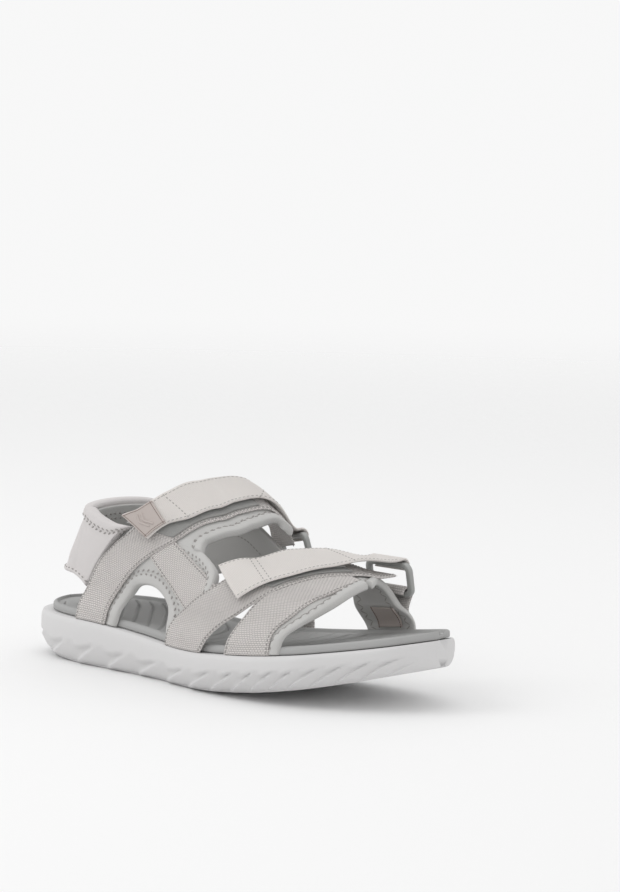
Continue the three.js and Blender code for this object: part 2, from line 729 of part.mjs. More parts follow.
function addSole() {
  const block = solidOf(midsoleGeometry());
  let midsole = block;
  for (const insert of INSERTS) {
    const pocket = solidOf(insertPrism(insert, POCKET_GAP, TREAD_THICK + POCKET_GAP));
    const plug = solidOf(insertPrism(insert, 0, TREAD_THICK));
    midsole = midsole.subtract(pocket);
    addPiece(insert.name, geometryOf(block.intersect(plug)), "rubber");
  }
  addPiece("midsole", geometryOf(midsole), "foam");
  addPiece("lasting_board", boardGeometry(), "board");
  addPiece("footbed", footbedGeometry(), "footbed");
}

function addPads() {
  addPiece("lateral_quarter", patch("pad", LATERAL_QUARTER, 26, 4), "lining");
  addPiece("medial_quarter", patch("pad", MEDIAL_QUARTER, 26, 4), "lining");
  addPiece("instep_pad", patch("pad", INSTEP_PAD, 14, 5), "lining");
  addPiece("forefoot_pad", patch("pad", FOREFOOT_PAD, 14, 3), "lining");
  addPiece("medial_forefoot_pad", patch("pad", MEDIAL_FOREFOOT_PAD, 12, 4), "lining");
  addPiece("medial_forefoot_patch", patch("inside", INNER_PATCH, 4, 3), "patch");
  addPiece("heel_collar", patch("collar", collarEdges(0), 34, 4), "panel");
  addPiece("heel_collar_lining", patch("lining", collarEdges(2), 34, 4), "lining");
}

function addWebbing() {
  addPiece("side_panel_webbing", patch("web", SIDE_PANEL, 6, 4), "webbing");
  addPiece("toe_leg_webbing", patch("web", TOE_LEG, 16, 3), "webbing");
  addPiece("medial_rear_webbing", patch("web", MEDIAL_REAR_LEG, 16, 3), "webbing");
}

const UNDER_BAR = FOLD_RADIUS + 2 * WEB_THICK + LAYER_GAP;
const UNDER_DROP = 4;

// The strap under a flap, which stops short of the fold round the ring's bar.
function underStrap(edges, rows, frame) {
  const onFoot = middleRows(edges, "web", rows, 4);
  const below = frame.outer
    .clone()
    .addScaledVector(frame.out, -UNDER_BAR)
    .addScaledVector(frame.up, -UNDER_DROP);
  const start = onFoot[onFoot.length - 1];
  const before = onFoot[onFoot.length - 2];
  const ends = rowAlong(frame, below, start.length);
  const headings = ends.map((end, j) => end.clone().sub(start[j]));
  return ribbon([...onFoot, ...bridge(start, before, ends, headings, 4)], WEB_THICK);
}

function addClosure(place, frame, straps) {
  const { under, flap, keeper, tapes, foot } = straps;
  addPiece(foot, underStrap(under, 24, frame), "webbing");
  addPiece(`${place}_ring`, ringGeometry(frame), "plastic");
  addPiece(`${place}_flap`, strapOverBar(flap, "flap", 14, 4, frame, frame.outer, {
    reach: 5, from: Math.PI * 0.52, turn: -Math.PI * 0.9, steps: 7,
  }), "flap");
  addPiece(`${place}_keeper`, strapOverBar(keeper, "web", 5, 3, frame, frame.keeper, {
    reach: 4, from: -0.5, turn: Math.PI * 1.15, steps: 8,
  }), "webbing");
  const hook = patch("hook", flap, 10, 3, 0.06, tapes.hookTo, 0.06);
  const loop = patch("loop", under, 10, 3, tapes.loopFrom, tapes.loopTo, 0.1);
  addPiece(`${place}_hook_tape`, hook, "tape");
  addPiece(`${place}_loop_tape`, loop, "tape");
}

addSole();
addPads();
addWebbing();
addClosure("instep", INSTEP_RING, {
  under: REAR_LEG, flap: INSTEP_FLAP, keeper: INSTEP_KEEPER, foot: "rear_leg_webbing",
  tapes: { hookTo: 0.7, loopFrom: 0.5, loopTo: 0.85 },
});
addClosure("forefoot", FOREFOOT_RING, {
  under: FRONT_LEG, flap: FOREFOOT_FLAP, keeper: FOREFOOT_KEEPER, foot: "front_leg_webbing",
  tapes: { hookTo: 0.75, loopFrom: 0.5, loopTo: 0.85 },
});
addPiece("instep_tab_patch", patch("patch", INSTEP_FLAP, 4, 3, 0, 0.2, 0.04), "patch");

// The frame's origin: the middle of the bounding box's underside.
const bounds = new THREE.Box3().setFromObject(sandal, true);
const middle = bounds.getCenter(new THREE.Vector3());
sandal.position.set(-middle.x, -middle.y, -bounds.min.z);

export default sandal;
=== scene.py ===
import bpy
import numpy as np
from bpy.props import FloatProperty, FloatVectorProperty, PointerProperty
from bpy.types import Operator, Panel, PropertyGroup
from mathutils import Matrix, Vector


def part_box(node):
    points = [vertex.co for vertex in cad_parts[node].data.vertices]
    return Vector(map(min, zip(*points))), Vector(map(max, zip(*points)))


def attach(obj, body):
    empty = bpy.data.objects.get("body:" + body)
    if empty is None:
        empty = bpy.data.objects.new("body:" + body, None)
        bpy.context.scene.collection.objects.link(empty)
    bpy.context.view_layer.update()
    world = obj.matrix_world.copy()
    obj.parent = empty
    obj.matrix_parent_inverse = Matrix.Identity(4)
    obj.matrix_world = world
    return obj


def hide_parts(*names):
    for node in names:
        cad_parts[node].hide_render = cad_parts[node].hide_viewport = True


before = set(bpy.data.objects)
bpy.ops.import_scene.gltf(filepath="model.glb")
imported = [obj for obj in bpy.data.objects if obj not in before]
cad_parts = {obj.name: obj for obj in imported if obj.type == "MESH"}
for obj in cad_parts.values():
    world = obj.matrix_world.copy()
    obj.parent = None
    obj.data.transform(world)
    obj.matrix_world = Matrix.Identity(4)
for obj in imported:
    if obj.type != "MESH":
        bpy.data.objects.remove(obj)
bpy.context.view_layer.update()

bl_info = {
    "name": "Strappy sport sandal",
    "version": (1, 0, 0),
    "blender": (4, 5, 0),
    "location": "View3D > Sidebar > Sandal",
    "description": "Builds the looks of a strappy sport sandal round its packed frame",
    "category": "Add Mesh",
}

MM = 0.001

# ---- Sizes of the pattern surface, in millimetres, the same as the frame's own ----
SOLE_LENGTH = 258
RIM_HEIGHT = 4.5
RIM_INSET = 4.6
TOE_INSET_SHARE = 0.35
HEEL_RADIUS = 32
HEEL_ARC = HEEL_RADIUS * np.pi / 2
HEEL_TOP, FORE_DROP = 24, 5
TOP_TOE_START, TOP_TOE_LIFT = 105, 16
HEEL_CURVE, HEEL_LIFT = 45, 7.4
UNDER_TOE_START, UNDER_TOE_LIFT = 120, 21.6
FOLD_RADIUS = 2.47
WEB_THICK = 1.4
STRAP_WIDTH = 25
SOLE_LINE = -4.1
RING_OPENING, RING_BAR, RING_RISE, RING_CORNER = 27, 3.5, 15, 3.4
RING_HALF_BAR, RING_END_SWELL, RING_SQUARENESS = 1.5, 0.25, 0.55


# ---- Curves ----
def curve_through(points):
    """A cubic through (x, y) points that never overshoots them, for arrays of x."""
    x, y = np.array(points, float).T
    rise = np.diff(y) / np.diff(x)
    slope = np.zeros(len(x))
    slope[0] = rise[0]
    slope[-1] = rise[-1]
    product = rise[:-1] * rise[1:]
    total = rise[:-1] + rise[1:]
    slope[1:-1] = np.where(product > 0, 2 * product / np.where(total == 0, 1, total), 0)

    def at(value):
        v = np.clip(np.asarray(value, float), x[0], x[-1])
        i = np.clip(np.searchsorted(x, v, side="left") - 1, 0, len(x) - 2)
        span = x[i + 1] - x[i]
        s = (v - x[i]) / span
        bend = s * (1 - s) * ((1 - s) * (slope[i] - rise[i]) - s * (slope[i + 1] - rise[i]))
        return y[i] + (y[i + 1] - y[i]) * s + bend * span

    return at


def smooth(value):
    s = np.clip(value, 0, 1)
    return s * s * (3 - 2 * s)


def bump(value, centre, spread):
    return np.exp(-(((value - centre) / spread) ** 2))


plan_lateral = curve_through([
    (0, 1.5), (1, 8.5), (4, 17), (10, 25.5), (19.5, 31.5), (37, 36), (54, 37.5), (79, 37.7),
    (96, 38), (114, 40), (131, 43.8), (155, 47.2), (180, 46.5), (206, 41.5), (223, 31.5),
    (237, 21.8), (246, 14.5), (253, 3.5), (257, -5.5), (258, -11),
])
plan_medial = curve_through([
    (0, 1.5), (1, 8.5), (4, 17), (10, 25), (19.5, 30), (37, 35.5), (54, 36.5), (79, 35),
    (96, 34.5), (114, 36), (131, 39), (155, 44), (180, 47.5), (206, 48.5), (223, 46),
    (237, 41.5), (246, 36.5), (253, 30), (257, 25), (258, 21),
])


def midsole_top(x):
    toe = np.maximum(0, (x - TOP_TOE_START) / (SOLE_LENGTH - TOP_TOE_START))
    return HEEL_TOP - FORE_DROP * smooth((x - 50) / 90) + TOP_TOE_LIFT * toe**2


def midsole_bottom(x):
    heel = np.maximum(0, (HEEL_CURVE - x) / HEEL_CURVE)
    toe = np.maximum(0, (x - UNDER_TOE_START) / (SOLE_LENGTH - UNDER_TOE_START))
    return HEEL_LIFT * heel**2 + UNDER_TOE_LIFT * toe**2


def rim_top(x):
    return midsole_top(x) + RIM_HEIGHT


# The frame's origin is the middle of the whole model's box; the midsole sets both ends of X.
ORIGIN_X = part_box("midsole")[0][0] / MM
ORIGIN = np.array([ORIGIN_X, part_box("midsole")[1][1] / MM - float(plan_medial(208)), 0.0])

# ---- The last: the foot shape that the upper is cut from ----
ridge_height = curve_through([
    (0, 119), (50, 119), (70, 114), (80, 102.5), (95, 82.5), (105, 72.5), (120, 62.5), (135, 55.5),
    (150, 50.5), (165, 45.5), (180, 40.5), (200, 33.5), (225, 24.5),
])
ridge_shift = curve_through([(0, 0), (60, 0), (100, 2), (140, 5), (180, 8), (225, 10)])
heel_lean = curve_through([(0, 4), (18, 13.5), (57, 37), (90, 46)])
FULL_STATION, FULL_SPREAD, FULL_HEIGHT, FULL_POWER = 125, 28, 14, 0.16
FULL_START, FULL_OVER = -0.12, 0.34
LATERAL_POWER, MEDIAL_POWER, RISE_POWER = 0.95, 0.72, 0.95
SKIRT_PER_TURN = 100


def height_of(x, u):
    """Height above the rim of turn u (-1 lateral rim, 0 ridge, 1 medial rim) at station x."""
    rise = np.sin((1 - np.minimum(1, np.abs(u))) * np.pi / 2)
    full = FULL_HEIGHT * bump(x, FULL_STATION, FULL_SPREAD) * smooth((u - FULL_START) / FULL_OVER)
    return ridge_height(x) * rise**RISE_POWER + full * smooth(rise * 1.4)


def turn_of(x, height):
    if height <= 0:
        return 1 - height / SKIRT_PER_TURN
    share = min(1, height / float(ridge_height(x)))
    return 1 - np.arcsin(share ** (1 / RISE_POWER)) / (np.pi / 2)


def lateral(x, height):
    return (x + HEEL_ARC - HEEL_RADIUS, -turn_of(x, height))


def medial(x, height):
    return (x + HEEL_ARC - HEEL_RADIUS, turn_of(x, height))


def across(x, turn):
    return (x + HEEL_ARC - HEEL_RADIUS, turn)


def around_heel(distance, height):
    x = max(HEEL_RADIUS, abs(distance) - HEEL_ARC + HEEL_RADIUS)
    return (distance, -turn_of(x, height))


def station_of(t):
    return np.maximum(HEEL_RADIUS, np.abs(t) - HEEL_ARC + HEEL_RADIUS)


def last_point(t, u):
    """Points of the last, for arrays of distance along the side and turn."""
    t, u = np.broadcast_arrays(np.asarray(t, float), np.asarray(u, float))
    u = np.where(t < 0, -u, u)
    t = np.abs(t)
    turned = np.minimum(t / HEEL_RADIUS, np.pi / 2)
    in_heel = t < HEEL_ARC
    x = np.where(in_heel, HEEL_RADIUS * (1 - np.cos(turned)), t - HEEL_ARC + HEEL_RADIUS)
    plan = np.where(u < 0, plan_lateral(np.maximum(x, HEEL_RADIUS)), plan_medial(np.maximum(x, HEEL_RADIUS)))
    width = (plan - RIM_INSET) * np.where(in_heel, np.sin(turned), 1)
    shape = np.maximum(x, HEEL_RADIUS)
    angle = (1 - np.minimum(1, np.abs(u))) * np.pi / 2
    height = height_of(shape, u)
    ridge = ridge_shift(x)
    cosine = np.maximum(np.cos(angle), 0)
    power = MEDIAL_POWER - FULL_POWER * bump(x, FULL_STATION, FULL_SPREAD)
    side = np.where(u < 0, -(width + ridge) * cosine**LATERAL_POWER, (width - ridge) * cosine**power)
    lean = np.clip(1 - x / 70, 0, 1) ** 1.5 * heel_lean(height)
    skirt = np.maximum(0, np.abs(u) - 1) * SKIRT_PER_TURN
    return np.stack([x + lean, ridge + side, rim_top(x) + height - skirt], -1)


def unit(vectors):
    length = np.linalg.norm(vectors, axis=-1, keepdims=True)
    return vectors / np.where(length == 0, 1, length)


def last_normal(t, u):
    up = last_point(t, u + 0.012) - last_point(t, u - 0.012)
    forward = last_point(t + 0.6, u) - last_point(t - 0.6, u)
    return unit(np.cross(forward, up))


# ---- Layers: [inner, outer] distances from the last, low at the rim and high above it ----
LAYERS = {
    "pad": ((0.4, 1.6), (-5.4, -2.5)),
    "web": ((2.0, 3.4), (-2.0, -0.6)),
    "loop": ((-0.5, 0.4), (-0.5, 0.4)),
    "hook": ((1.0, 1.9), (1.0, 1.9)),
    "flap": ((1.8, 3.2), (1.8, 3.2)),
    "patch": ((3.15, 4.3), (3.15, 4.3)),
    "collar": ((-6.9, -2.5), (-6.9, -2.5)),
    "lining": ((-8.5, -7.2), (-8.5, -7.2)),
    "inside": ((-1.0, -0.1), (-6.8, -5.9)),
}


def layer_at(layer, height):
    s = smooth((height - 1) / 15)[..., None]
    low, high = (np.array(v) for v in LAYERS[layer])
    return low + (high - low) * s


# ---- Patterns: two edges with matching points ----
def spline(points, s):
    """Centripetal Catmull-Rom through points, at an array of shares of its spans."""
    p = np.array(points, float) * (1, 100)
    p = np.vstack([2 * p[0] - p[1], p, 2 * p[-1] - p[-2]])
    spans = len(p) - 3
    place = np.clip(np.asarray(s, float), 0, 1) * spans
    i = np.minimum(place.astype(int), spans - 1)
    w = (place - i)[..., None]
    q = [p[i + k] for k in range(4)]
    knot = [np.zeros(w.shape)]
    for k in range(3):
        gap = np.linalg.norm(q[k + 1] - q[k], axis=-1, keepdims=True) ** 0.5
        knot.append(knot[-1] + np.maximum(gap, 1e-4))
    here = knot[1] + (knot[2] - knot[1]) * w

    def blend(a, b, ka, kb):
        return (a * (kb - here) + b * (here - ka)) / (kb - ka)

    a = [blend(q[k], q[k + 1], knot[k], knot[k + 1]) for k in range(3)]
    b = [blend(a[k], a[k + 1], knot[k], knot[k + 2]) for k in range(2)]
    return blend(b[0], b[1], knot[1], knot[2]) / (1, 100)


def pattern_at(edges, a, b):
    """Distance along the side and turn at share a along the piece and b across it."""
    first, second = (spline(edge, a) for edge in edges)
    tu = first + (second - first) * np.asarray(b)[..., None]
    return tu[..., 0], tu[..., 1]


# ---- Meshes ----
def crowded(count, strength=0.75):
    """Shares from 0 to 1 that lie closer together near both ends."""
    even = np.linspace(0, 1, count + 1)
    return even + (0.5 - 0.5 * np.cos(np.pi * even) - even) * strength


FLAT_VOLUME = 1e-13


def enclosed_volume(mesh):
    """The volume the faces close, in cubic metres: negative if they look inward, 0 for a flat piece."""
    mesh.calc_loop_triangles()
    corners = np.zeros(3 * len(mesh.loop_triangles), int)
    mesh.loop_triangles.foreach_get("vertices", corners)
    places = np.zeros(3 * len(mesh.vertices), np.float32)
    mesh.vertices.foreach_get("co", places)
    places = places.reshape(-1, 3).astype(float)
    first, second, third = np.moveaxis((places - places.mean(0))[corners.reshape(-1, 3)], 1, 0)
    volume = (first * np.cross(second, third)).sum() / 6
    return 0 if abs(volume) < FLAT_VOLUME else volume


def make_object(name, vertices, faces, uvs=None):
    """An object from points in the design's millimetres, with its faces turned outward."""
    mesh = bpy.data.meshes.new(name)
    mesh.from_pydata(((vertices + ORIGIN) * MM).tolist(), [], faces)
    mesh.validate()
    if enclosed_volume(mesh) < 0:
        mesh.flip_normals()
    if uvs is not None:
        layer = mesh.uv_layers.new(name="cloth")
        loops = np.zeros(len(mesh.loops), int)
        mesh.loops.foreach_get("vertex_index", loops)
        layer.data.foreach_set("uv", uvs[loops].astype(np.float32).ravel())
    mesh.shade_smooth()
    piece = bpy.data.objects.new(name, mesh)
    bpy.context.scene.collection.objects.link(piece)
    return piece


def grid_lengths(middle):
    """Distances along and across a grid of points, in millimetres."""
    step_a = np.linalg.norm(np.diff(middle, axis=0), axis=-1).mean(1)
    step_b = np.linalg.norm(np.diff(middle, axis=1), axis=-1)
    along = np.concatenate([[0], np.cumsum(step_a)])
    over = np.concatenate([np.zeros((len(middle), 1)), np.cumsum(step_b, 1)], 1)
    over = over - over[:, -1:] / 2
    return np.stack([np.repeat(along[:, None], middle.shape[1], 1), over], -1)


def slab(name, inner, outer):
    """A closed body between two grids of points, with cloth coordinates in millimetres."""
    rows, columns = outer.shape[:2]
    vertices = np.concatenate([outer.reshape(-1, 3), inner.reshape(-1, 3)])
    uvs = np.tile(grid_lengths((inner + outer) / 2).reshape(-1, 2), (2, 1))
    base = np.arange(rows * columns).reshape(rows, columns)
    under = base + rows * columns

    def quads(a, b, c, d):
        return np.stack([a, b, c, d], -1).reshape(-1, 4)

    faces = [
        quads(base[:-1, :-1], base[1:, :-1], base[1:, 1:], base[:-1, 1:]),
        quads(under[:-1, :-1], under[:-1, 1:], under[1:, 1:], under[1:, :-1]),
        quads(base[:-1, 0], under[:-1, 0], under[1:, 0], base[1:, 0]),
        quads(base[:-1, -1], base[1:, -1], under[1:, -1], under[:-1, -1]),
        quads(base[0, :-1], base[0, 1:], under[0, 1:], under[0, :-1]),
        quads(base[-1, :-1], under[-1, :-1], under[-1, 1:], base[-1, 1:]),
    ]
    return make_object(name, vertices, np.concatenate(faces).tolist(), uvs)


def grid_normals(rows):
    along = np.gradient(rows, axis=0)
    over = np.gradient(rows, axis=1)
    return unit(np.cross(along, over))


def layer_grid(edges, layer, a, b):
    """Inner points, outer points and normals of a piece at shares a along and b across."""
    aa, bb = np.meshgrid(a, b, indexing="ij")
    t, u = pattern_at(edges, aa, bb)
    normal = last_normal(t, u)
    height = np.where(np.abs(u) > 1, 0, height_of(station_of(t), u))
    offsets = layer_at(layer, height)
    point = last_point(t, u)
    return point + normal * offsets[..., :1], point + normal * offsets[..., 1:], normal


def edge_distances(grid):
    """Distance of each point of a grid from the edges where its rows start and end."""
    step = np.linalg.norm(np.diff(grid, axis=1), axis=-1)
    run = np.concatenate([np.zeros((len(grid), 1)), np.cumsum(step, 1)], 1)
    return run, run[:, -1:] - run


def edge_rounding(grid, edge):
    """Distances from both sides of a grid, and the share of its thickness left near its edges."""
    first, second = edge_distances(grid)
    third, fourth = edge_distances(grid.transpose(1, 0, 2))
    near = np.minimum(np.minimum(first, second), np.minimum(third, fourth).T)
    inward = np.clip(near / edge, 0, 1)
    return first, second, np.maximum(0.1, np.sqrt(1 - (1 - inward) ** 2))[..., None]


def no_padding(first, second):
    return np.zeros_like(first)


def rim_padding(beads, crown=0.5):
    """Padding with rolled rims and a soft crown; a rim is (edge, width, height, start, end)."""
    def padding(first, second):
        near = np.minimum(first, second)
        total = crown * smooth((near - 5) / 9)
        share = np.linspace(0, 1, len(first))[:, None]
        for edge, width, height, start, end in beads:
            away = (first, second)[edge]
            fade = smooth((share - start) / 0.04 + 0.5) * smooth((end - share) / 0.04 + 0.5)
            roll = np.sqrt(np.clip(1 - ((away - width / 2) / (width / 2)) ** 2, 0, 1))
            total = total + height * roll * fade
        return total
    return padding


def cut_piece(name, edges, layer, size=(120, 32), edge=0.8, padding=no_padding, span=(0, 1),
              margin=0.0, lift=0.0):
    """A piece cut from the last: edges rounded over edge millimetres, and padding on its face."""
    a = span[0] + (span[1] - span[0]) * crowded(size[0], 0.5)
    b = margin + (1 - 2 * margin) * crowded(size[1], 0.6)
    inner, outer, normal = layer_grid(edges, layer, a, b)
    first, second, keep = edge_rounding(outer, edge)
    middle = (inner + outer) / 2 + normal * lift
    half = (outer - inner) / 2 * keep
    top = middle + half + normal * (padding(first, second)[..., None] * keep)
    return slab(name, middle - half, top), top


def ribbon(name, rows, thickness, edge=0.7):
    """A strap of even thickness about a grid of points, and its outer grid."""
    _, _, keep = edge_rounding(rows, edge)
    normals = grid_normals(rows)
    if np.sum(normals[:60] * (rows[:60] - (rows[..., 0].mean(), 0, 20))) < 0:
        rows, normals, keep = rows[:, ::-1], -normals[:, ::-1], keep[:, ::-1]
    push = normals * (thickness / 2 * keep)
    return slab(name, rows - push, rows + push), rows + push


# ---- Stitches, laid on the outer face of a piece ----
def bead(length, width, height, rings=5, sides=6):
    """A small lens-shaped body for one stitch."""
    shape = []
    for i in range(1, rings):
        angle = np.pi * i / rings
        for k in range(sides):
            turn = 2 * np.pi * k / sides
            shape.append((-np.cos(angle) * length / 2, np.sin(angle) * np.cos(turn) * width / 2,
                          np.sin(angle) * np.sin(turn) * height / 2))
    faces = []
    for i in range(rings - 2):
        for k in range(sides):
            n = (k + 1) % sides
            faces.append([i * sides + k, (i + 1) * sides + k, (i + 1) * sides + n, i * sides + n])
    faces.append(list(range(sides)))
    faces.append([(rings - 2) * sides + k for k in range(sides)][::-1])
    return np.array(shape), faces


def joined(name, places, along, normals, template):
    """One mesh of a small body set at many places, along a direction and a normal."""
    forward = unit(along)
    side = unit(np.cross(normals, forward))
    up = np.cross(forward, side)
    turn = np.stack([forward, side, up], -1)
    shape, faces = template
    vertices = np.einsum("nij,kj->nki", turn, shape) + places[:, None, :]
    count = len(shape)
    every = [[v + i * count for v in face] for i in range(len(places)) for face in faces]
    return make_object(name, vertices.reshape(-1, 3), every)


def inset_path(grid, inset, side):
    """Points and normals at a distance in from one side of a grid."""
    normals = grid_normals(grid)
    run = edge_distances(grid)[side]
    if side == 1:
        run, grid, normals = run[:, ::-1], grid[:, ::-1], normals[:, ::-1]
    rows = range(len(grid))
    points = np.stack([[np.interp(inset, run[i], grid[i, :, k]) for k in range(3)] for i in rows])
    turned = np.stack([[np.interp(inset, run[i], normals[i, :, k]) for k in range(3)] for i in rows])
    return points, unit(turned)


def end_path(grid, inset, side):
    """As inset_path, in from the end where a grid's rows start or stop."""
    points, normals = inset_path(grid.transpose(1, 0, 2), inset, side)
    return points, -normals


def inner_path(edges, layer, inset, side, count=160):
    """As inset_path, on the face of a piece that the foot touches."""
    inner, _, _ = layer_grid(edges, layer, np.linspace(0, 1, count), np.linspace(0, 1, 40))
    points, normals = inset_path(inner, inset, side)
    return points, -normals


def stitches(name, path, spacing=3.0, length=2.0, width=0.8, height=0.6, slant=0.0, zigzag=False,
             span=(0, 1), lift=0.0):
    points, normals = path
    lengths = np.concatenate([[0], np.cumsum(np.linalg.norm(np.diff(points, axis=0), axis=-1))])
    whole = lengths[-1]
    count = max(2, int(whole * (span[1] - span[0]) / spacing))
    marks = np.linspace(span[0] * whole, span[1] * whole, count)

    def at(values, table):
        return np.stack([np.interp(values, lengths, table[:, k]) for k in range(3)], -1)

    places = at(marks, points)
    up = unit(at(marks, normals))
    along = unit(at(np.minimum(whole, marks + 0.5), points) - at(np.maximum(0, marks - 0.5), points))
    sign = np.where(np.arange(count) % 2 == 0, 1, -1)[:, None] if zigzag else 1
    along = unit(along + sign * slant * np.cross(up, along))
    return joined(name, places + up * lift, along, up, bead(length, width, height))


# ---- Rings and the straps that fold round them ----
def ring_frame(centre, axis, rise):
    bar = unit(np.array(axis, float))
    up = np.array(rise, float)
    up = unit(up - bar * (up @ bar))
    out = unit(np.cross(up, bar))
    x, y, h = centre
    outer = np.array([x, y, float(rim_top(x)) + h])
    return {"bar": bar, "up": up, "out": out, "outer": outer, "keeper": outer - up * RING_RISE}


INSTEP_RING = ring_frame((134, 38, 47), (0.9, -0.36, 0.18), (-0.25, -0.12, 0.96))
FOREFOOT_RING = ring_frame((198, 41.5, 34.5), (0.99, -0.12, 0.02), (-0.05, -0.16, 0.985))


def bezier(a, b, c, d, s):
    return a * (1 - s) ** 3 + b * (3 * s * (1 - s) ** 2) + c * (3 * s**2 * (1 - s)) + d * s**3


def along_bar(ring, columns):
    """Places across a strap, measured along the bar that it folds round."""
    return ((np.arange(columns) / (columns - 1) - 0.5) * STRAP_WIDTH)[:, None] * ring["bar"]


def rows_to_bar(rows, ring, centre, start_angle, turn, straight=0.0, crown=0.0, reach=26, steps=36):
    """Rows that run on from the last rows on the foot, crowned by crown, and turn round a bar."""
    radius = FOLD_RADIUS + WEB_THICK / 2
    place = along_bar(ring, rows.shape[1])

    def spoke(angle):
        return ring["up"] * np.sin(angle) + ring["out"] * np.cos(angle)

    start, before = rows[-1], rows[-6]
    end = centre + place + spoke(start_angle) * radius
    leaving = spoke(start_angle + np.sign(turn) * np.pi / 2)
    pull = np.linalg.norm(start - end, axis=-1, keepdims=True) / 3
    heading = unit(unit(start - before) + straight * unit(end - start)) * pull
    run = [
        bezier(start, start + heading, end - leaving * pull, end, k / reach)
        + (0, 0, crown * np.sin(np.pi * k / reach) ** 2)
        for k in range(1, reach + 1)
    ]
    fold = [centre + place + spoke(start_angle + turn * k / steps) * radius for k in range(1, steps + 1)]
    return np.concatenate([rows, run, fold])


def foot_rows(edges, layer, size, span=(0, 1)):
    a = span[0] + (span[1] - span[0]) * np.linspace(0, 1, size[0] + 1)
    inner, outer, _ = layer_grid(edges, layer, a, np.linspace(0, 1, size[1] + 1))
    return (inner + outer) / 2


def under_strap_rows(edges, ring, size=(130, 22)):
    """Rows of a leg strap that run on off the foot and end just under its ring."""
    rows = foot_rows(edges, "web", size)
    below = ring["outer"] - ring["out"] * (FOLD_RADIUS + 2 * WEB_THICK + 0.5) - ring["up"] * 4
    start, before = rows[-1], rows[-5]
    end = below + along_bar(ring, rows.shape[1])
    pull = np.linalg.norm(start - end, axis=-1, keepdims=True) / 3
    run = [bezier(start, start + unit(start - before) * pull, end - unit(end - start) * pull, end, k / 20)
           for k in range(1, 21)]
    return np.concatenate([rows, run])


# ---- Patterns of the upper ----
def pattern(place, points):
    return [place(x, height) for x, height in points]


ARCH_HOLE = [
    (77.5, SOLE_LINE), (81, 6), (86, 15), (90, 19.5), (97, 21.3), (104, 20.3), (110.5, 17),
    (115, 12), (118.5, 4), (120, SOLE_LINE),
]
LATERAL_QUARTER = [
    pattern(lateral, [
        (48, SOLE_LINE), (50, 7), (67, 30), (85, 51), (103, 49), (125, 46.3), (144, 36), (146, 24),
        (141, 8), (138, SOLE_LINE),
    ]),
    pattern(lateral, ARCH_HOLE),
]
MEDIAL_QUARTER = [
    [
        *pattern(medial, [(48, SOLE_LINE), (50, 7), (67, 30), (85, 49.5)]),
        across(100, 0.55), across(116, 0.55), across(131, 0.62), across(142, 0.66),
        *pattern(medial, [(144, 12), (143, SOLE_LINE)]),
    ],
    pattern(medial, ARCH_HOLE),
]
INSTEP_PAD = [
    [lateral(76, 50), lateral(79, 53), across(98, -0.36), across(106, -0.02), across(114, 0.12),
     across(121, 0.22), across(125, 0.3)],
    [lateral(128.5, 44.2), lateral(127.5, 48.8), across(131, -0.28), across(138, -0.02),
     across(143, 0.12), across(147, 0.22), across(149, 0.3)],
]
REAR_LEG = [
    [
        *pattern(lateral, [(46.5, SOLE_LINE), (50, 11), (57.5, 26), (70.5, 38), (83, 49)]),
        across(99, -0.27), across(108, -0.02), across(115, 0.12), across(122, 0.24),
    ],
    [
        *pattern(lateral, [(70, SOLE_LINE), (74, 10), (82, 22), (96, 36), (112, 48)]),
        across(122, -0.24), across(128, -0.02), across(136, 0.12), across(142, 0.24),
    ],
]
INSTEP_FLAP = [
    [lateral(77, 54), lateral(86, 58.5), across(97, -0.36), across(105, -0.02), across(111, 0.12),
     across(119, 0.22)],
    [lateral(96, 44.5), lateral(105, 53.2), across(114.5, -0.34), across(123, -0.02),
     across(131, 0.12), across(139, 0.22)],
]
SIDE_PANEL = [
    pattern(lateral, [(93, 38.5), (97.5, 34.5), (106, 28.5), (116, 22.5), (130, 14.5)]),
    pattern(lateral, [(104.5, 50), (110.5, 46.5), (122, 41.2), (134, 36), (149, 29)]),
]
FRONT_LEG = [
    [
        *pattern(lateral, [(119, SOLE_LINE), (123, 9), (133, 19), (149, 30)]),
        across(160, -0.4), across(168, -0.18), across(175, 0.02), across(181, 0.16),
    ],
    [
        *pattern(lateral, [(150, SOLE_LINE), (160.5, 9), (172, 17.5), (181, 24.5)]),
        across(190, -0.4), across(199, -0.18), across(205, 0.02), across(208, 0.16),
    ],
]
FOREFOOT_FLAP = [
    [*pattern(lateral, [(147, 37), (156, 40)]), across(164, -0.33), across(170, -0.14),
     across(176, 0.04), across(181, 0.16)],
    [*pattern(lateral, [(169, 22), (178, 28)]), across(189, -0.36), across(196, -0.15),
     across(201, 0.04), across(204, 0.16)],
]
TOE_LEG = [
    [*pattern(lateral, [(166, SOLE_LINE), (170, 8), (174.5, 17.5), (179.5, 25)]), across(187.5, -0.43),
     across(196, -0.22), across(203, -0.02)],
    [*pattern(lateral, [(194, SOLE_LINE), (195.5, 7), (201.5, 15.5), (207, 22.5)]), across(210.5, -0.38),
     across(212.5, -0.2), across(213.5, -0.02)],
]
FOREFOOT_PAD = [
    [*pattern(lateral, [(178, SOLE_LINE), (180, 8), (184, 17), (189, 23)]), across(193, -0.42),
     across(197, -0.22), across(199, -0.02)],
    [*pattern(lateral, [(199.5, SOLE_LINE), (202, 4.5), (208, 10.5), (214, 16.5)]), across(217, -0.45),
     across(217, -0.22), across(215, -0.02)],
]
MEDIAL_FOREFOOT_PAD = [
    [across(186, 0.01), across(183, 0.2), across(181, 0.42),
     *pattern(medial, [(179, 15), (180, 7), (184, SOLE_LINE)])],
    [across(215, 0.01), across(208, 0.2), across(206.5, 0.42),
     *pattern(medial, [(209, 15), (213, 8), (215, SOLE_LINE)])],
]
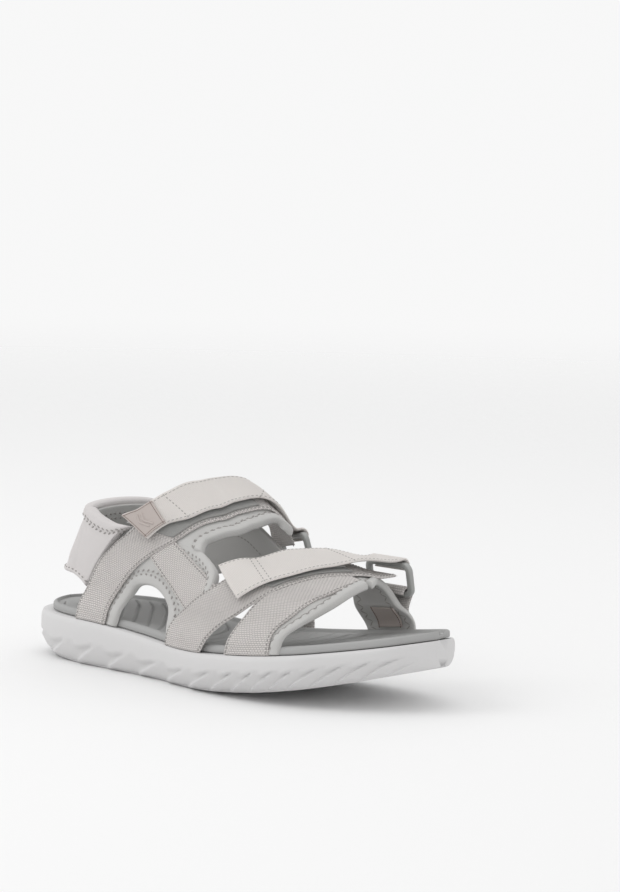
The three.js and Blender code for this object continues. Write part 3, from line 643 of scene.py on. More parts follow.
MEDIAL_REAR_LEG = [
    [*pattern(medial, [(50, SOLE_LINE), (53, 11), (61, 26), (76, 38), (98, 44)]), across(118, 0.62)],
    pattern(medial, [(70, SOLE_LINE), (74, 10), (84, 21), (98, 27), (110, 26), (121, 20)]),
]
INSTEP_KEEPER = [
    pattern(medial, [(124, SOLE_LINE), (124.5, 2), (125, 5), (125, 8)]),
    pattern(medial, [(149, SOLE_LINE), (149, 2), (149, 5), (149, 8)]),
]
FOREFOOT_KEEPER = [
    pattern(medial, [(186, SOLE_LINE), (186, 2), (186, 5), (186, 8)]),
    pattern(medial, [(211, SOLE_LINE), (211, 2), (211, 5), (211, 8)]),
]
INNER_PATCH = [pattern(medial, [(191, 1.5), (191, 14)]), pattern(medial, [(207, 1.5), (207, 14)])]
TAB_PATCH = [
    [tuple(spline(INSTEP_FLAP[0], share)) for share in (0, 0.1, 0.2, 0.3)],
    [tuple(spline(INSTEP_FLAP[1], share)) for share in (0, 0.065, 0.13, 0.195)],
]
COLLAR_LOWER = [(65, 12), (60, 14.5), (49, 17.5), (28, 18.5), (0, 18.5)]
COLLAR_UPPER = [(99.5, 49), (90, 48.5), (76, 50), (50, 54.5), (0, 58)]


def collar_edge(points, shift):
    half = [(t, h + shift) for t, h in points]
    back = [(-t, h) for t, h in half[-2::-1]]
    return [around_heel(t, h) for t, h in half + back]


def collar_edges(inset):
    return [collar_edge(COLLAR_LOWER, inset), collar_edge(COLLAR_UPPER, -inset)]


# ---- Finishes ----
def paint(red, green, blue):
    """A linear colour from display values of 0 to 255."""
    values = np.array([red, green, blue]) / 255
    return tuple(np.where(values <= 0.04045, values / 12.92, ((values + 0.055) / 1.055) ** 2.4))


def new_material(name, colour, roughness):
    material = bpy.data.materials.new(name)
    material.use_nodes = True
    shader = material.node_tree.nodes["Principled BSDF"]
    shader.inputs["Base Color"].default_value = (*colour, 1)
    shader.inputs["Roughness"].default_value = roughness
    material.diffuse_color = (*colour, 1)
    return material, material.node_tree, shader


def add_node(tree, kind, inputs=(), **settings):
    node = tree.nodes.new(kind)
    for key, value in settings.items():
        setattr(node, key, value)
    for key, value in dict(inputs).items():
        if hasattr(value, "is_linked"):
            tree.links.new(value, node.inputs[key])
        else:
            node.inputs[key].default_value = value
    return node


def tinted(tree, shader, mask, colour, low, high):
    """Base colour between two strengths of one colour, by a mask."""
    ramp = add_node(tree, "ShaderNodeMapRange", {
        "Value": mask, "From Min": 0.25, "From Max": 1.25, "To Min": low, "To Max": high,
    })
    scaled = add_node(tree, "ShaderNodeVectorMath", {0: colour, "Scale": ramp.outputs["Result"]},
                      operation="SCALE")
    tree.links.new(scaled.outputs["Vector"], shader.inputs["Base Color"])


def noise(tree, where, scale, detail):
    return add_node(tree, "ShaderNodeTexNoise", {"Vector": where, "Scale": scale, "Detail": detail})


def raise_surface(tree, shader, height, strength, depth):
    """Bump from a height, depth in millimetres."""
    node = add_node(tree, "ShaderNodeBump", {"Height": height, "Strength": strength, "Distance": depth * MM})
    tree.links.new(node.outputs["Normal"], shader.inputs["Normal"])


def sum_of(tree, first, second, share):
    scaled = add_node(tree, "ShaderNodeMath", {0: second, 1: share}, operation="MULTIPLY")
    return add_node(tree, "ShaderNodeMath", {0: first, 1: scaled.outputs[0]}, operation="ADD").outputs[0]


def woven(name, colour, cell=(1.35, 0.7), depth=0.16, dark=0.8, roughness=0.85, turn=0.0, sheen=0.15):
    """Webbing or fabric: rows of small cells on the piece's own cloth coordinates, in millimetres."""
    material, tree, shader = new_material(name, colour, roughness)
    shader.inputs["Sheen Weight"].default_value = sheen
    shader.inputs["Sheen Roughness"].default_value = 0.5
    uv = add_node(tree, "ShaderNodeUVMap", uv_map="cloth")
    turned = add_node(tree, "ShaderNodeMapping", {"Vector": uv.outputs["UV"], "Rotation": (0, 0, turn)})
    where = turned.outputs["Vector"]
    wander = noise(tree, where, 0.35, 2.0)
    pushed = add_node(tree, "ShaderNodeVectorMath",
                      {0: wander.outputs["Color"], 1: (0.5, 0.5, 0.5), 2: where}, operation="MULTIPLY_ADD")
    bricks = add_node(tree, "ShaderNodeTexBrick", {
        "Vector": pushed.outputs["Vector"], "Scale": 1.0, "Mortar Size": min(cell) * 0.26,
        "Mortar Smooth": 1.0, "Brick Width": cell[0], "Row Height": cell[1],
    }, offset=0.5, squash=1.0)
    raised = add_node(tree, "ShaderNodeMath", {0: 1.0, 1: bricks.outputs["Fac"]}, operation="SUBTRACT")
    grain = noise(tree, where, 2.6, 5.0)
    height = sum_of(tree, raised.outputs[0], grain.outputs["Fac"], 0.9)
    raise_surface(tree, shader, height, 0.75, depth)
    mottle = noise(tree, where, 0.09, 3.0)
    mask = sum_of(tree, raised.outputs[0], mottle.outputs["Fac"], 0.5)
    tinted(tree, shader, mask, colour, dark, 1.0)
    return material


def fuzzy(name, colour, scale=1.6, depth=0.5, roughness=0.95):
    """Hook and loop pile, or brushed lining: soft noise on two scales."""
    material, tree, shader = new_material(name, colour, roughness)
    shader.inputs["Sheen Weight"].default_value = 0.3
    uv = add_node(tree, "ShaderNodeUVMap", uv_map="cloth")
    fine = noise(tree, uv.outputs["UV"], scale, 8.0)
    broad = noise(tree, uv.outputs["UV"], scale / 9, 3.0)
    height = sum_of(tree, fine.outputs["Fac"], broad.outputs["Fac"], 0.6)
    raise_surface(tree, shader, height, 0.8, depth)
    tinted(tree, shader, height, colour, 0.72, 1.12)
    return material


def moulded(name, colour, roughness, grain=900.0, depth=0.05, shade=0.93, edge_highlight=0.03):
    """Moulded foam, rubber or plastic: fine grain, slow mottling and a painted highlight on convex edges."""
    material, tree, shader = new_material(name, colour, roughness)
    place = add_node(tree, "ShaderNodeTexCoord").outputs["Object"]
    fine = noise(tree, place, grain, 4.0)
    slow = noise(tree, place, 22.0, 3.0)
    raise_surface(tree, shader, fine.outputs["Fac"], 0.5, depth)
    # Painted highlight: convex edges, found by pointiness, are tinted lighter as if they caught the light.
    edge = add_node(tree, "ShaderNodeNewGeometry").outputs["Pointiness"]
    painted_highlight = add_node(tree, "ShaderNodeMapRange",
                      {"Value": edge, "From Min": 0.5, "From Max": 0.56, "To Max": edge_highlight})
    mask = sum_of(tree, slow.outputs["Fac"], painted_highlight.outputs["Result"], 4.0)
    tinted(tree, shader, mask, colour, shade, 1.0)
    rough = add_node(tree, "ShaderNodeMapRange", {
        "Value": fine.outputs["Fac"], "To Min": roughness - 0.08, "To Max": min(1, roughness + 0.08),
    })
    tree.links.new(rough.outputs["Result"], shader.inputs["Roughness"])
    return material


def finish_piece(context, piece, body, slot, nodes=(), finish=None):
    """Gives a piece its material, from its finish or else its slot, and its body, and hides the CAD nodes it
    stands for.
    """
    piece.data.materials.clear()
    piece.data.materials.append(material_of(context, finish or slot))
    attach(piece, body)
    if nodes:
        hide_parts(*nodes)
    return piece


# ---- Sole ----
def plan_half(station):
    low, high = -plan_lateral(station), plan_medial(station)
    return (high - low) / 2, (high + low) / 2


def even_stations(count):
    """Stations along the foot, much closer together at both ends."""
    share = np.linspace(0, 1, count)
    return SOLE_LENGTH * (0.5 - 0.5 * np.cos(np.pi * share))


def polygon_distance(x, y, corners):
    """Signed distance to a convex polygon, negative inside, for arrays of points."""
    far = np.full(np.shape(x), -1e9)
    for i, (ax, ay) in enumerate(corners):
        bx, by = corners[(i + 1) % len(corners)]
        length = np.hypot(bx - ax, by - ay)
        far = np.maximum(far, ((x - ax) * (ay - by) + (y - ay) * (bx - ax)) / -length)
    return far


HEEL_INSERT = [(18, 20), (59, 0), (18, -20)]
HEEL_INSERT_CENTRE = (31.7, 0.0)
POCKET_DEPTH, TREAD_DEPTH, FACET_DEPTH = 3.3, 1.7, 3.1
TREAD_WAVE, TREAD_WAVE_LENGTH, TREAD_PITCH = 6.5, 62, 13
GROOVE_DEPTH, GROOVE_PITCH = 1.1, 11
FOOTBED_DISH = 1.6
FOREFOOT_INSERTS = [(183, -16), (161, -23), (144, -16), (188, -2)]


def insert_pockets(x, y):
    """How far each point of the underside lies inside the nearest insert's pocket."""
    inside = polygon_distance(x, y, HEEL_INSERT) + 2.2
    for cx, cy in FOREFOOT_INSERTS:
        diamond = [(cx - 9, cy), (cx, cy + 4), (cx + 9, cy), (cx, cy - 4)]
        inside = np.minimum(inside, polygon_distance(x, y, diamond))
    return smooth((0.9 - inside) / 1.1)


def from_line(value, pitch):
    """Distance from the nearest of the lines that stand one pitch apart."""
    return np.abs(value / pitch - np.round(value / pitch)) * pitch


def tread_recess(x, y):
    """Depth of the lens-shaped tread cells: ridges at the crossing waves, hollows between."""
    wave = TREAD_WAVE * np.sin(2 * np.pi * x / TREAD_WAVE_LENGTH)
    near = np.minimum(from_line(y + wave, TREAD_PITCH), from_line(y - wave, TREAD_PITCH))
    return TREAD_DEPTH * smooth((near - 0.5) / 3.2)


def wall_sculpting(x, level):
    """Depth of the diagonal facets on the lower half of the sole's wall, closer to the toe."""
    ahead = smooth((x - 90) / 110)
    pitch = 24 - 13.5 * ahead
    turns = np.cumsum(np.gradient(x, axis=0) / pitch, axis=0)
    phase = turns - level * (1.5 + 1.3 * ahead)
    share = phase - np.floor(phase)
    facet = share**0.8 * (1 - smooth((share - 0.76) / 0.24))
    top = 0.52 + 0.1 * ahead + 0.07 * np.sin(2 * np.pi * (phase + 0.2))
    low = smooth((level + 0.02) / 0.06) * smooth((top - level) / 0.14)
    ends = smooth((x - 1) / 7) * smooth((SOLE_LENGTH - 1 - x) / 7)
    return FACET_DEPTH * facet * low * ends


def closed_rings(name, rings):
    """A closed body through rings of points, with both ends capped."""
    count, size = rings.shape[:2]
    base = np.arange(count * size).reshape(count, size)
    following = np.roll(base, -1, axis=1)
    quads = np.stack([base[:-1], following[:-1], following[1:], base[1:]], -1).reshape(-1, 4).tolist()
    caps = [base[0][::-1].tolist(), base[-1].tolist()]
    run = np.zeros((count, size, 2))
    run[..., 0] = np.arange(count)[:, None]
    run[..., 1] = np.arange(size)[None, :]
    return make_object(name, rings.reshape(-1, 3), quads + caps, run.reshape(-1, 2))


def both_sides(side):
    """Whole rings from the half rings that side makes for -1, lateral, and 1, medial."""
    return np.concatenate([side(-1), side(1)[:, -2:0:-1]], 1)


def midsole_mesh():
    station = even_stations(300)[:, None]
    half, middle = plan_half(station)
    low, high = midsole_bottom(station), midsole_top(station)
    wall = spline([(7, 0), (2.8, 0.02), (0.7, 0.06), (0, 0.124), (0.4, 0.18), (1.6, 0.2)],
                  np.linspace(0, 1, 34))
    level = wall[:, 1][None, :] / 0.2
    inward = wall[:, 0][None, :] + wall_sculpting(station + 0 * level, level)
    reach = half / (half + np.maximum(0, inward))
    edge = half / (half + 7)
    under = np.linspace(0, 1, 42)[None, :-1]
    top = np.linspace(1, 0, 8)[None, 1:]
    share = np.concatenate([under * edge, reach, top * reach[:, -1:]], 1)
    rise = np.concatenate([low + 0 * under, low + (high - low) * level, high + 0 * top], 1)

    def side(sign):
        x = station + 0 * share
        y = middle + sign * half * share
        under_count = under.shape[1]
        z = rise.copy()
        fade = smooth((share[:, under_count:under_count + 1] - share[:, :under_count]) * half / 3)
        recess = tread_recess(x, y)[:, :under_count] * fade
        pocket = insert_pockets(x, y)[:, :under_count]
        z[:, :under_count] += np.maximum(recess, POCKET_DEPTH * pocket)
        return np.stack([x, y, z], -1)

    return closed_rings("midsole_foam", both_sides(side))


def footbed_mesh():
    station = even_stations(520)[:, None]
    half, middle = plan_half(station)
    x = RIM_INSET + (SOLE_LENGTH - RIM_INSET * TOE_INSET_SHARE - RIM_INSET) * station / SOLE_LENGTH
    seat, rim = midsole_top(x) + 0.4, rim_top(x)
    inset = RIM_INSET - 2.3 * smooth((station - 150) / 70)
    shrink = np.maximum(0.12, 1 - inset / half)
    lower = [(0.8, 0), (0.1, 0.5), (0, 1.2), (0, 2.2)]
    upper = [(0.2, -0.9), (0.9, -0.3), (1.9, 0), (3.1, 0), (4.4, -0.35), (5.2, -1.3), (6.4, -1.75),
             (9, -FOOTBED_DISH)]
    inward = np.array([inset for inset, _ in lower + upper])[None, :]
    rise = np.concatenate([seat + np.array([[up for _, up in lower]]),
                           rim + np.array([[up for _, up in upper]])], 1)
    reach = shrink * half / (half + inward)
    inner = np.linspace(1, 0, 56)[None, 1:]
    share = np.concatenate([reach, inner * reach[:, -1:]], 1)
    rise = np.concatenate([rise, rim - FOOTBED_DISH + 0 * inner], 1)

    def side(sign):
        y = middle + sign * half * share
        z = rise.copy()
        count = inward.shape[1]
        z[:, count:] -= footbed_grooves(x + 0 * y, y - middle, half)[:, count:]
        return np.stack([x + 0 * y, y, z], -1)

    return closed_rings("footbed_sheet", both_sides(side))


def footbed_grooves(x, y, half):
    """Depth of the curved grooves on the footbed."""
    arc = x + 0.75 * np.abs(y - 4) ** 1.1 * np.sign(y - 4) * smooth((150 - x) / 60) + 0.006 * y**2
    groove = GROOVE_DEPTH * smooth((1.0 - from_line(arc, GROOVE_PITCH)) / 0.7)
    inside = smooth((half - 11 - np.abs(y)) / 2) * smooth((x - 12) / 4) * smooth((232 - x) / 4)
    return groove * inside


def heel_insert_mesh():
    """A rounded triangle with ridges that follow its outline."""
    centre = np.array(HEEL_INSERT_CENTRE)
    corners = np.array(HEEL_INSERT, float)
    outline = []
    for turn in np.linspace(0, 2 * np.pi, 121)[:-1]:
        ray = np.array([np.cos(turn), np.sin(turn)])
        reach = []
        for a, b in zip(corners, np.roll(corners, -1, 0)):
            normal = np.array([b[1] - a[1], a[0] - b[0]])
            normal = normal / np.linalg.norm(normal)
            gap = (a - centre) @ normal
            lean = ray @ normal
            if lean * np.sign(gap) > 1e-6:
                reach.append(abs(gap) / abs(lean))
        soft = np.sum(np.array(reach) ** -7.0) ** (-1 / 7)
        outline.append(centre + ray * soft * 0.97)
    outline = np.array(outline)
    rings = []
    for k, share in enumerate([1.0, 1.0, 0.985, *np.linspace(0.97, 0.02, 50)]):
        place = centre + (outline - centre) * share
        recess = 0.9 * smooth((0.5 + 0.5 * np.cos(2 * np.pi * share * 4.5)) * 1.6 - 0.3)
        z = midsole_bottom(place[:, 0]) + (2.9 if k == 0 else 0.4 if k == 1 else 0.15 + recess)
        rings.append(np.concatenate([place, z[:, None]], 1))
    return closed_rings("heel_tread_rubber", np.array(rings)[:, ::-1])


# ---- Stage: the camera's place in the frame's millimetres, its direction in degrees and its lens ----
CAMERA_PLACE = (1067.2, -1098.8, 276.1)
CAMERA_TURN, CAMERA_LIFT, CAMERA_ROLL = 44.189, 8.768, 1.160
FRAME_HEIGHT, SENSOR = 892, 36
FOCAL = 2998                # in the same units as the frame's height
AIM_RIGHT, AIM_UP = 76, 155
FLOOR_REACH, FLOOR_GAP = 4000, 0.3
FLOOR_FADE = (0.9, 3.2)     # metres from the middle, where the floor starts and ends its fade
WORLD_GREY, WORLD_STRENGTH = 0.985, 0.95
SOFTBOXES = [
    ("key_softbox", (-0.75, -1.05, 1.25), 1.1, 5.5),
    ("top_softbox", (0.1, 0.35, 1.9), 1.6, 2.4),
]
LAMP_TARGET = (0, 0, 0.04)

# ---- Settings a user can change ----
def colour_property(name, red, green, blue, about):
    return FloatVectorProperty(name=name, description=about, subtype="COLOR", size=3, min=0, max=1,
                               default=paint(red, green, blue))


class SandalColours(PropertyGroup):
    foam: colour_property("Foam", 209, 208, 208, "Colour of the midsole foam")
    rubber: colour_property("Tread rubber", 206, 206, 207, "Colour of the tread inserts")
    footbed: colour_property("Footbed", 170, 170, 169, "Colour of the footbed")
    lining: colour_property("Lining", 193, 192, 190, "Colour of the padded lining")
    panel: colour_property("Collar panel", 209, 205, 204, "Colour of the heel collar panel")
    webbing: colour_property("Webbing", 222, 217, 214, "Colour of the woven straps")
    flap: colour_property("Flaps", 226, 221, 217, "Colour of the two fastening flaps")
    tape: colour_property("Tape", 148, 148, 146, "Colour of the hook and loop tape")
    patch: colour_property("Patch", 184, 174, 169, "Colour of the tab patch")
    thread: colour_property("Thread", 158, 155, 152, "Colour of the sewing thread")
    plastic: colour_property("Rings", 160, 161, 159, "Colour of the strap rings")
    board: colour_property("Board", 178, 174, 168, "Colour of the board under the footbed")


class SandalSizes(PropertyGroup):
    rim_roll: FloatProperty(name="Rim roll", description="Height of the lining's rolled rims",
                            default=1.7 * MM, min=0, max=3 * MM, unit="LENGTH")
    stitch: FloatProperty(name="Stitch", description="Length of one stitch",
                          default=2.0 * MM, min=0.5 * MM, max=5 * MM, unit="LENGTH")
    weave: FloatProperty(name="Weave", description="Width of one cell of the webbing's weave",
                         default=1.7 * MM, min=0.4 * MM, max=5 * MM, unit="LENGTH")
    studio: FloatProperty(name="Studio light", description="Strength of the soft studio light",
                          default=1.0, min=0, max=10)


def colours(context):
    return context.scene.sandal_colours


def sizes(context):
    return context.scene.sandal_sizes


def material_of(context, slot):
    """The finish of a material slot, made once from the scene's colours."""
    found = bpy.data.materials.get("sandal_" + slot)
    if found:
        return found
    name = "sandal_" + slot
    tint = colours(context)
    cell = sizes(context).weave / MM
    made = {
        "foam": lambda: moulded(name, tint.foam, 0.6, depth=0.04, shade=0.97),
        "rubber": lambda: moulded(name, tint.rubber, 0.6, depth=0.05),
        "footbed": lambda: moulded(name, tint.footbed, 0.8, grain=1500.0, depth=0.12, shade=0.9),
        "lining": lambda: woven(name, tint.lining, (0.9, 0.55), 0.07, 0.9, 0.9, turn=0.6),
        "panel": lambda: woven(name, tint.panel, (0.7, 0.45), 0.06, 0.92, 0.9, turn=0.8),
        "webbing": lambda: woven(name, tint.webbing, (cell, cell * 0.65), 0.6, 0.62, 0.85, turn=np.pi / 2),
        "flap": lambda: woven(name, tint.flap, (1.1, 0.7), 0.25, 0.86, 0.85, turn=np.pi / 2),
        "tape": lambda: fuzzy(name, tint.tape),
        "patch": lambda: woven(name, tint.patch, (0.6, 0.35), 0.05, 0.92, 0.6, sheen=0.05),
        "thread": lambda: moulded(name, tint.thread, 0.8, grain=3500.0, depth=0.08),
        "plastic": lambda: moulded(name, tint.plastic, 0.42, depth=0.03),
        "board": lambda: fuzzy(name, tint.board, 0.8, 0.15),
        "border": lambda: moulded(name, paint(118, 104, 98), 0.7, depth=0.03),
    }
    return made[slot]()


def sew(context, name, path, body="shoe", slot="webbing", colour="thread", **settings):
    """A row of stitches as one piece."""
    thread = stitches(name, path, length=settings.pop("length", sizes(context).stitch / MM), **settings)
    return finish_piece(context, thread, body, slot, finish=colour)


def double_seam(context, name, paths, slot, width=1.0, **settings):
    """Two rows of stitches that lean towards each other."""
    for k, path in enumerate(paths):
        sew(context, f"{name}_{k + 1}", path, slot=slot, spacing=3.3, width=width, height=0.9,
            slant=0.5 - k, **settings)


def edge_seams(context, name, face, inset=1.7, spacing=2.0, length=1.6, width=0.8, height=0.7, **settings):
    """A row of stitches along each side of a piece."""
    for side in (0, 1):
        sew(context, f"{name}_{side + 1}", inset_path(face, inset, side), spacing=spacing, length=length,
            width=width, height=height, **settings)


# ---- Operators ----
class SANDAL_OT_stage(Operator):
    """Sets the camera, the soft studio light and the pale floor"""
    bl_idname = "sandal.stage"
    bl_label = "Stage"

    def execute(self, context):
        turn, lift, roll = np.radians([CAMERA_TURN, CAMERA_LIFT, CAMERA_ROLL])
        back = np.array([np.sin(turn) * np.cos(lift), -np.cos(turn) * np.cos(lift), np.sin(lift)])
        right = np.array([np.cos(turn), np.sin(turn), 0])
        up = np.cross(back, right)
        right, up = (right * np.cos(roll) + up * np.sin(roll), up * np.cos(roll) - right * np.sin(roll))
        aim = unit(-back * FOCAL + right * AIM_RIGHT + up * AIM_UP)
        side = unit(np.cross(aim, up))
        turned = Matrix(np.stack([side, np.cross(side, aim), -aim], 1).tolist()).to_4x4()
        data = bpy.data.cameras.new("camera")
        data.lens = SENSOR * FOCAL / FRAME_HEIGHT
        data.sensor_width = SENSOR
        data.clip_start = 0.05
        camera = bpy.data.objects.new("camera", data)
        camera.matrix_world = Matrix.Translation(Vector(CAMERA_PLACE) * MM) @ turned
        context.scene.collection.objects.link(camera)
        context.scene.camera = camera

        corners = np.array([(-1, -1, 0), (1, -1, 0), (1, 1, 0), (-1, 1, 0)], float) * FLOOR_REACH
        floor = make_object("floor", corners - ORIGIN - (0, 0, FLOOR_GAP), [[0, 1, 2, 3]])
        pale, tree, shader = new_material("studio_floor", paint(239, 239, 239), 0.9)
        shader.inputs["Specular IOR Level"].default_value = 0.1
        floor.data.materials.append(pale)
        where = add_node(tree, "ShaderNodeTexCoord")
        far = add_node(tree, "ShaderNodeVectorMath", {0: where.outputs["Object"]}, operation="LENGTH")
        fade = add_node(tree, "ShaderNodeMapRange", {
            "Value": far.outputs["Value"], "From Min": FLOOR_FADE[0], "From Max": FLOOR_FADE[1],
        }, interpolation_type="SMOOTHSTEP")
        clear = add_node(tree, "ShaderNodeBsdfTransparent")
        both = add_node(tree, "ShaderNodeMixShader", {
            0: fade.outputs["Result"], 1: shader.outputs["BSDF"], 2: clear.outputs["BSDF"],
        })
        tree.links.new(both.outputs["Shader"], tree.nodes["Material Output"].inputs["Surface"])

        world = bpy.data.worlds.new("studio")
        world.use_nodes = True
        background = world.node_tree.nodes["Background"]
        background.inputs["Color"].default_value = (WORLD_GREY, WORLD_GREY, WORLD_GREY, 1)
        strength = sizes(context).studio
        background.inputs["Strength"].default_value = WORLD_STRENGTH * strength
        context.scene.world = world
        for name, place, width, power in SOFTBOXES:
            light = bpy.data.lights.new(name, "AREA")
            light.shape = "DISK"
            light.size = width
            light.energy = power * strength
            lamp = bpy.data.objects.new(name, light)
            lamp.location = place
            towards = Vector(LAMP_TARGET) - Vector(place)
            lamp.rotation_euler = towards.to_track_quat("-Z", "Y").to_euler()
            context.scene.collection.objects.link(lamp)
        context.scene.view_settings.view_transform = "Standard"
        return {"FINISHED"}


class SANDAL_OT_sole(Operator):
    """Makes the midsole, the footbed and the heel tread insert, and gives the board and the forefoot tread
    inserts their finishes
    """
    bl_idname = "sandal.sole"
    bl_label = "Sole"

    def execute(self, context):
        finish_piece(context, midsole_mesh(), "shoe", "foam", ["midsole"])
        finish_piece(context, footbed_mesh(), "shoe", "footbed", ["footbed"])
        finish_piece(context, heel_insert_mesh(), "shoe", "rubber", ["heel_tread_insert"])
        carried = {"lasting_board": "board"}
        carried.update({f"forefoot_tread_insert_{i}": "rubber" for i in range(1, len(FOREFOOT_INSERTS) + 1)})
        for node, slot in carried.items():
            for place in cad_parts[node].material_slots:
                place.material = material_of(context, slot)
        return {"FINISHED"}


class SANDAL_OT_linings(Operator):
    """Makes the padded linings under the straps, with their rolled rims"""
    bl_idname = "sandal.linings"
    bl_label = "Padded linings"

    def execute(self, context):
        roll = sizes(context).rim_roll / MM
        made = [
            ("lateral_quarter", LATERAL_QUARTER, [(1, 6.5, roll, -1, 2), (0, 6, roll, 0.56, 0.92)], 0.3),
            ("medial_quarter", MEDIAL_QUARTER, [(1, 6.5, roll, -1, 2), (0, 5, roll * 0.6, 0.3, 2)], 0.3),
            ("instep_pad", INSTEP_PAD, [(1, 6.5, roll, -1, 2)], 0.2),
            ("forefoot_pad", FOREFOOT_PAD, [(1, 6, roll, -1, 2)], 0.2),
            ("medial_forefoot_pad", MEDIAL_FOREFOOT_PAD,
             [(0, 5, roll * 0.7, -1, 2), (1, 5, roll * 0.7, -1, 2)], 0.3),
        ]
        for node, edges, beads, crown in made:
            pad, face = cut_piece(node + "_padding", edges, "pad", (150, 60), 1.3, rim_padding(beads, crown))
            finish_piece(context, pad, "shoe", "lining", [node])
            if node in ("lateral_quarter", "medial_quarter", "instep_pad"):
                insets = (7.6, 10.2) if node.endswith("quarter") else (7.2, 9.6)
                double_seam(context, node + "_seam", [inset_path(face, i, 1) for i in insets], "lining")
            else:
                for side in [1] if node == "forefoot_pad" else [0, 1]:
                    sew(context, f"{node}_zigzag_{side + 1}", inset_path(face, 7.4, side), slot="lining",
                        spacing=2.1, length=4.2, width=0.7, height=0.9, slant=1.5, zigzag=True, lift=0.1)
                    sew(context, f"{node}_inner_zigzag_{side + 1}", inner_path(edges, "pad", 4.5, side),
                        slot="lining", spacing=2.3, length=4.4, width=0.8, height=0.8, slant=1.4,
                        zigzag=True, lift=0.1)
            if node == "lateral_quarter":
                double_seam(context, "vamp_edge_seam", [inset_path(face, i, 0) for i in (6.4, 8.8)],
                            "lining", span=(0.54, 0.86))
        sew(context, "medial_quarter_inner_seam", inner_path(MEDIAL_QUARTER, "pad", 11, 0), slot="lining",
            spacing=2.2, length=1.8, width=0.6, height=0.5)
        patch, _ = cut_piece("medial_forefoot_label", INNER_PATCH, "inside", (40, 40), 0.5)
        finish_piece(context, patch, "shoe", "patch", ["medial_forefoot_patch"])
        for side in (0, 1):
            sew(context, f"label_border_{side + 1}", inner_path(INNER_PATCH, "inside", 0.9, side, 40),
                slot="patch", colour="border", spacing=1.0, length=1.2, width=0.7, height=0.5)
        return {"FINISHED"}


class SANDAL_OT_collar(Operator):
    """Makes the padded heel collar and its lining, sewn along the rolled rim"""
    bl_idname = "sandal.collar"
    bl_label = "Heel collar"

    def execute(self, context):
        roll = sizes(context).rim_roll / MM
        collar, face = cut_piece("heel_collar_padding", collar_edges(0), "collar", (220, 60), 1.8,
                                 rim_padding([(1, 7, roll, -1, 2), (0, 4, roll * 0.5, -1, 2)], 0.6))
        finish_piece(context, collar, "shoe", "panel", ["heel_collar"])
        lining, _ = cut_piece("heel_collar_inside", collar_edges(2), "lining", (220, 40), 0.5)
        finish_piece(context, lining, "shoe", "lining", ["heel_collar_lining"])
        double_seam(context, "collar_rim_seam", [inset_path(face, i, 1) for i in (8.0, 10.8)], "panel")
        inner = [inner_path(collar_edges(2), "lining", i, 1) for i in (5.0, 8.0)]
        double_seam(context, "collar_inner_seam", inner, "lining", width=1.1)
        sew(context, "collar_base_seam", inset_path(face, 5.0, 0), slot="panel", spacing=3.3)
        return {"FINISHED"}


class SANDAL_OT_webbing(Operator):
    """Makes the woven straps that are sewn to the sole, with their edge stitches"""
    bl_idname = "sandal.webbing"
    bl_label = "Woven straps"

    def execute(self, context):
        made = [
            ("side_panel_webbing", SIDE_PANEL, (60, 40), -0.9),
            ("toe_leg_webbing", TOE_LEG, (140, 44), -0.6),
            ("medial_rear_webbing", MEDIAL_REAR_LEG, (140, 40), 0.0),
        ]
        for node, edges, size, lift in made:
            strap, face = cut_piece(node + "_weave", edges, "web", size, 0.7, lift=lift)
            finish_piece(context, strap, "shoe", "webbing", [node])
            edge_seams(context, node + "_seam", face)
        for node, edges, ring in (("rear_leg_webbing", REAR_LEG, INSTEP_RING),
                                  ("front_leg_webbing", FRONT_LEG, FOREFOOT_RING)):
            strap, face = ribbon(node + "_weave", under_strap_rows(edges, ring), WEB_THICK)
            finish_piece(context, strap, "shoe", "webbing", [node])
            edge_seams(context, node + "_seam", face)
        return {"FINISHED"}


def ring_mesh(name, ring):
    """A rectangular loop with round corners and a softly rounded bar all round."""
    count, sides = 26, 20
    half_width, half_height, radius = (RING_OPENING + RING_BAR) / 2, RING_RISE / 2, RING_CORNER
    corners = [(1, 1), (-1, 1), (-1, -1), (1, -1)]
    path, outward = [], []
    for k, (sx, sy) in enumerate(corners):
        for i in range(count):
            angle = np.pi / 2 * (k + i / (count - 1))
            ray = np.array([np.cos(angle), np.sin(angle)])
            path.append(np.array([sx * (half_width - radius), sy * (half_height - radius)]) + ray * radius)
            outward.append(ray)
    path, outward = np.array(path), np.array(outward)
    turns = 2 * np.pi * np.arange(sides) / sides
    flat, tall = (np.sign(v) * np.abs(v) ** RING_SQUARENESS for v in (np.cos(turns), np.sin(turns)))
    wide = RING_HALF_BAR + RING_END_SWELL * np.abs(outward[:, :1])
    across_bar = path[:, None, :] + outward[:, None, :] * (wide * flat[None, :])[..., None]
    centre = (ring["outer"] + ring["keeper"]) / 2
    points = (centre + across_bar[..., :1] * ring["bar"] + across_bar[..., 1:] * ring["up"]
              + (RING_HALF_BAR * tall)[None, :, None] * ring["out"])
    base = np.arange(points.shape[0] * sides).reshape(-1, sides)
    after, beside = np.roll(base, -1, 0), np.roll(base, -1, 1)
    faces = np.stack([base, after, np.roll(after, -1, 1), beside], -1).reshape(-1, 4)
    return make_object(name, points.reshape(-1, 3), faces.tolist())


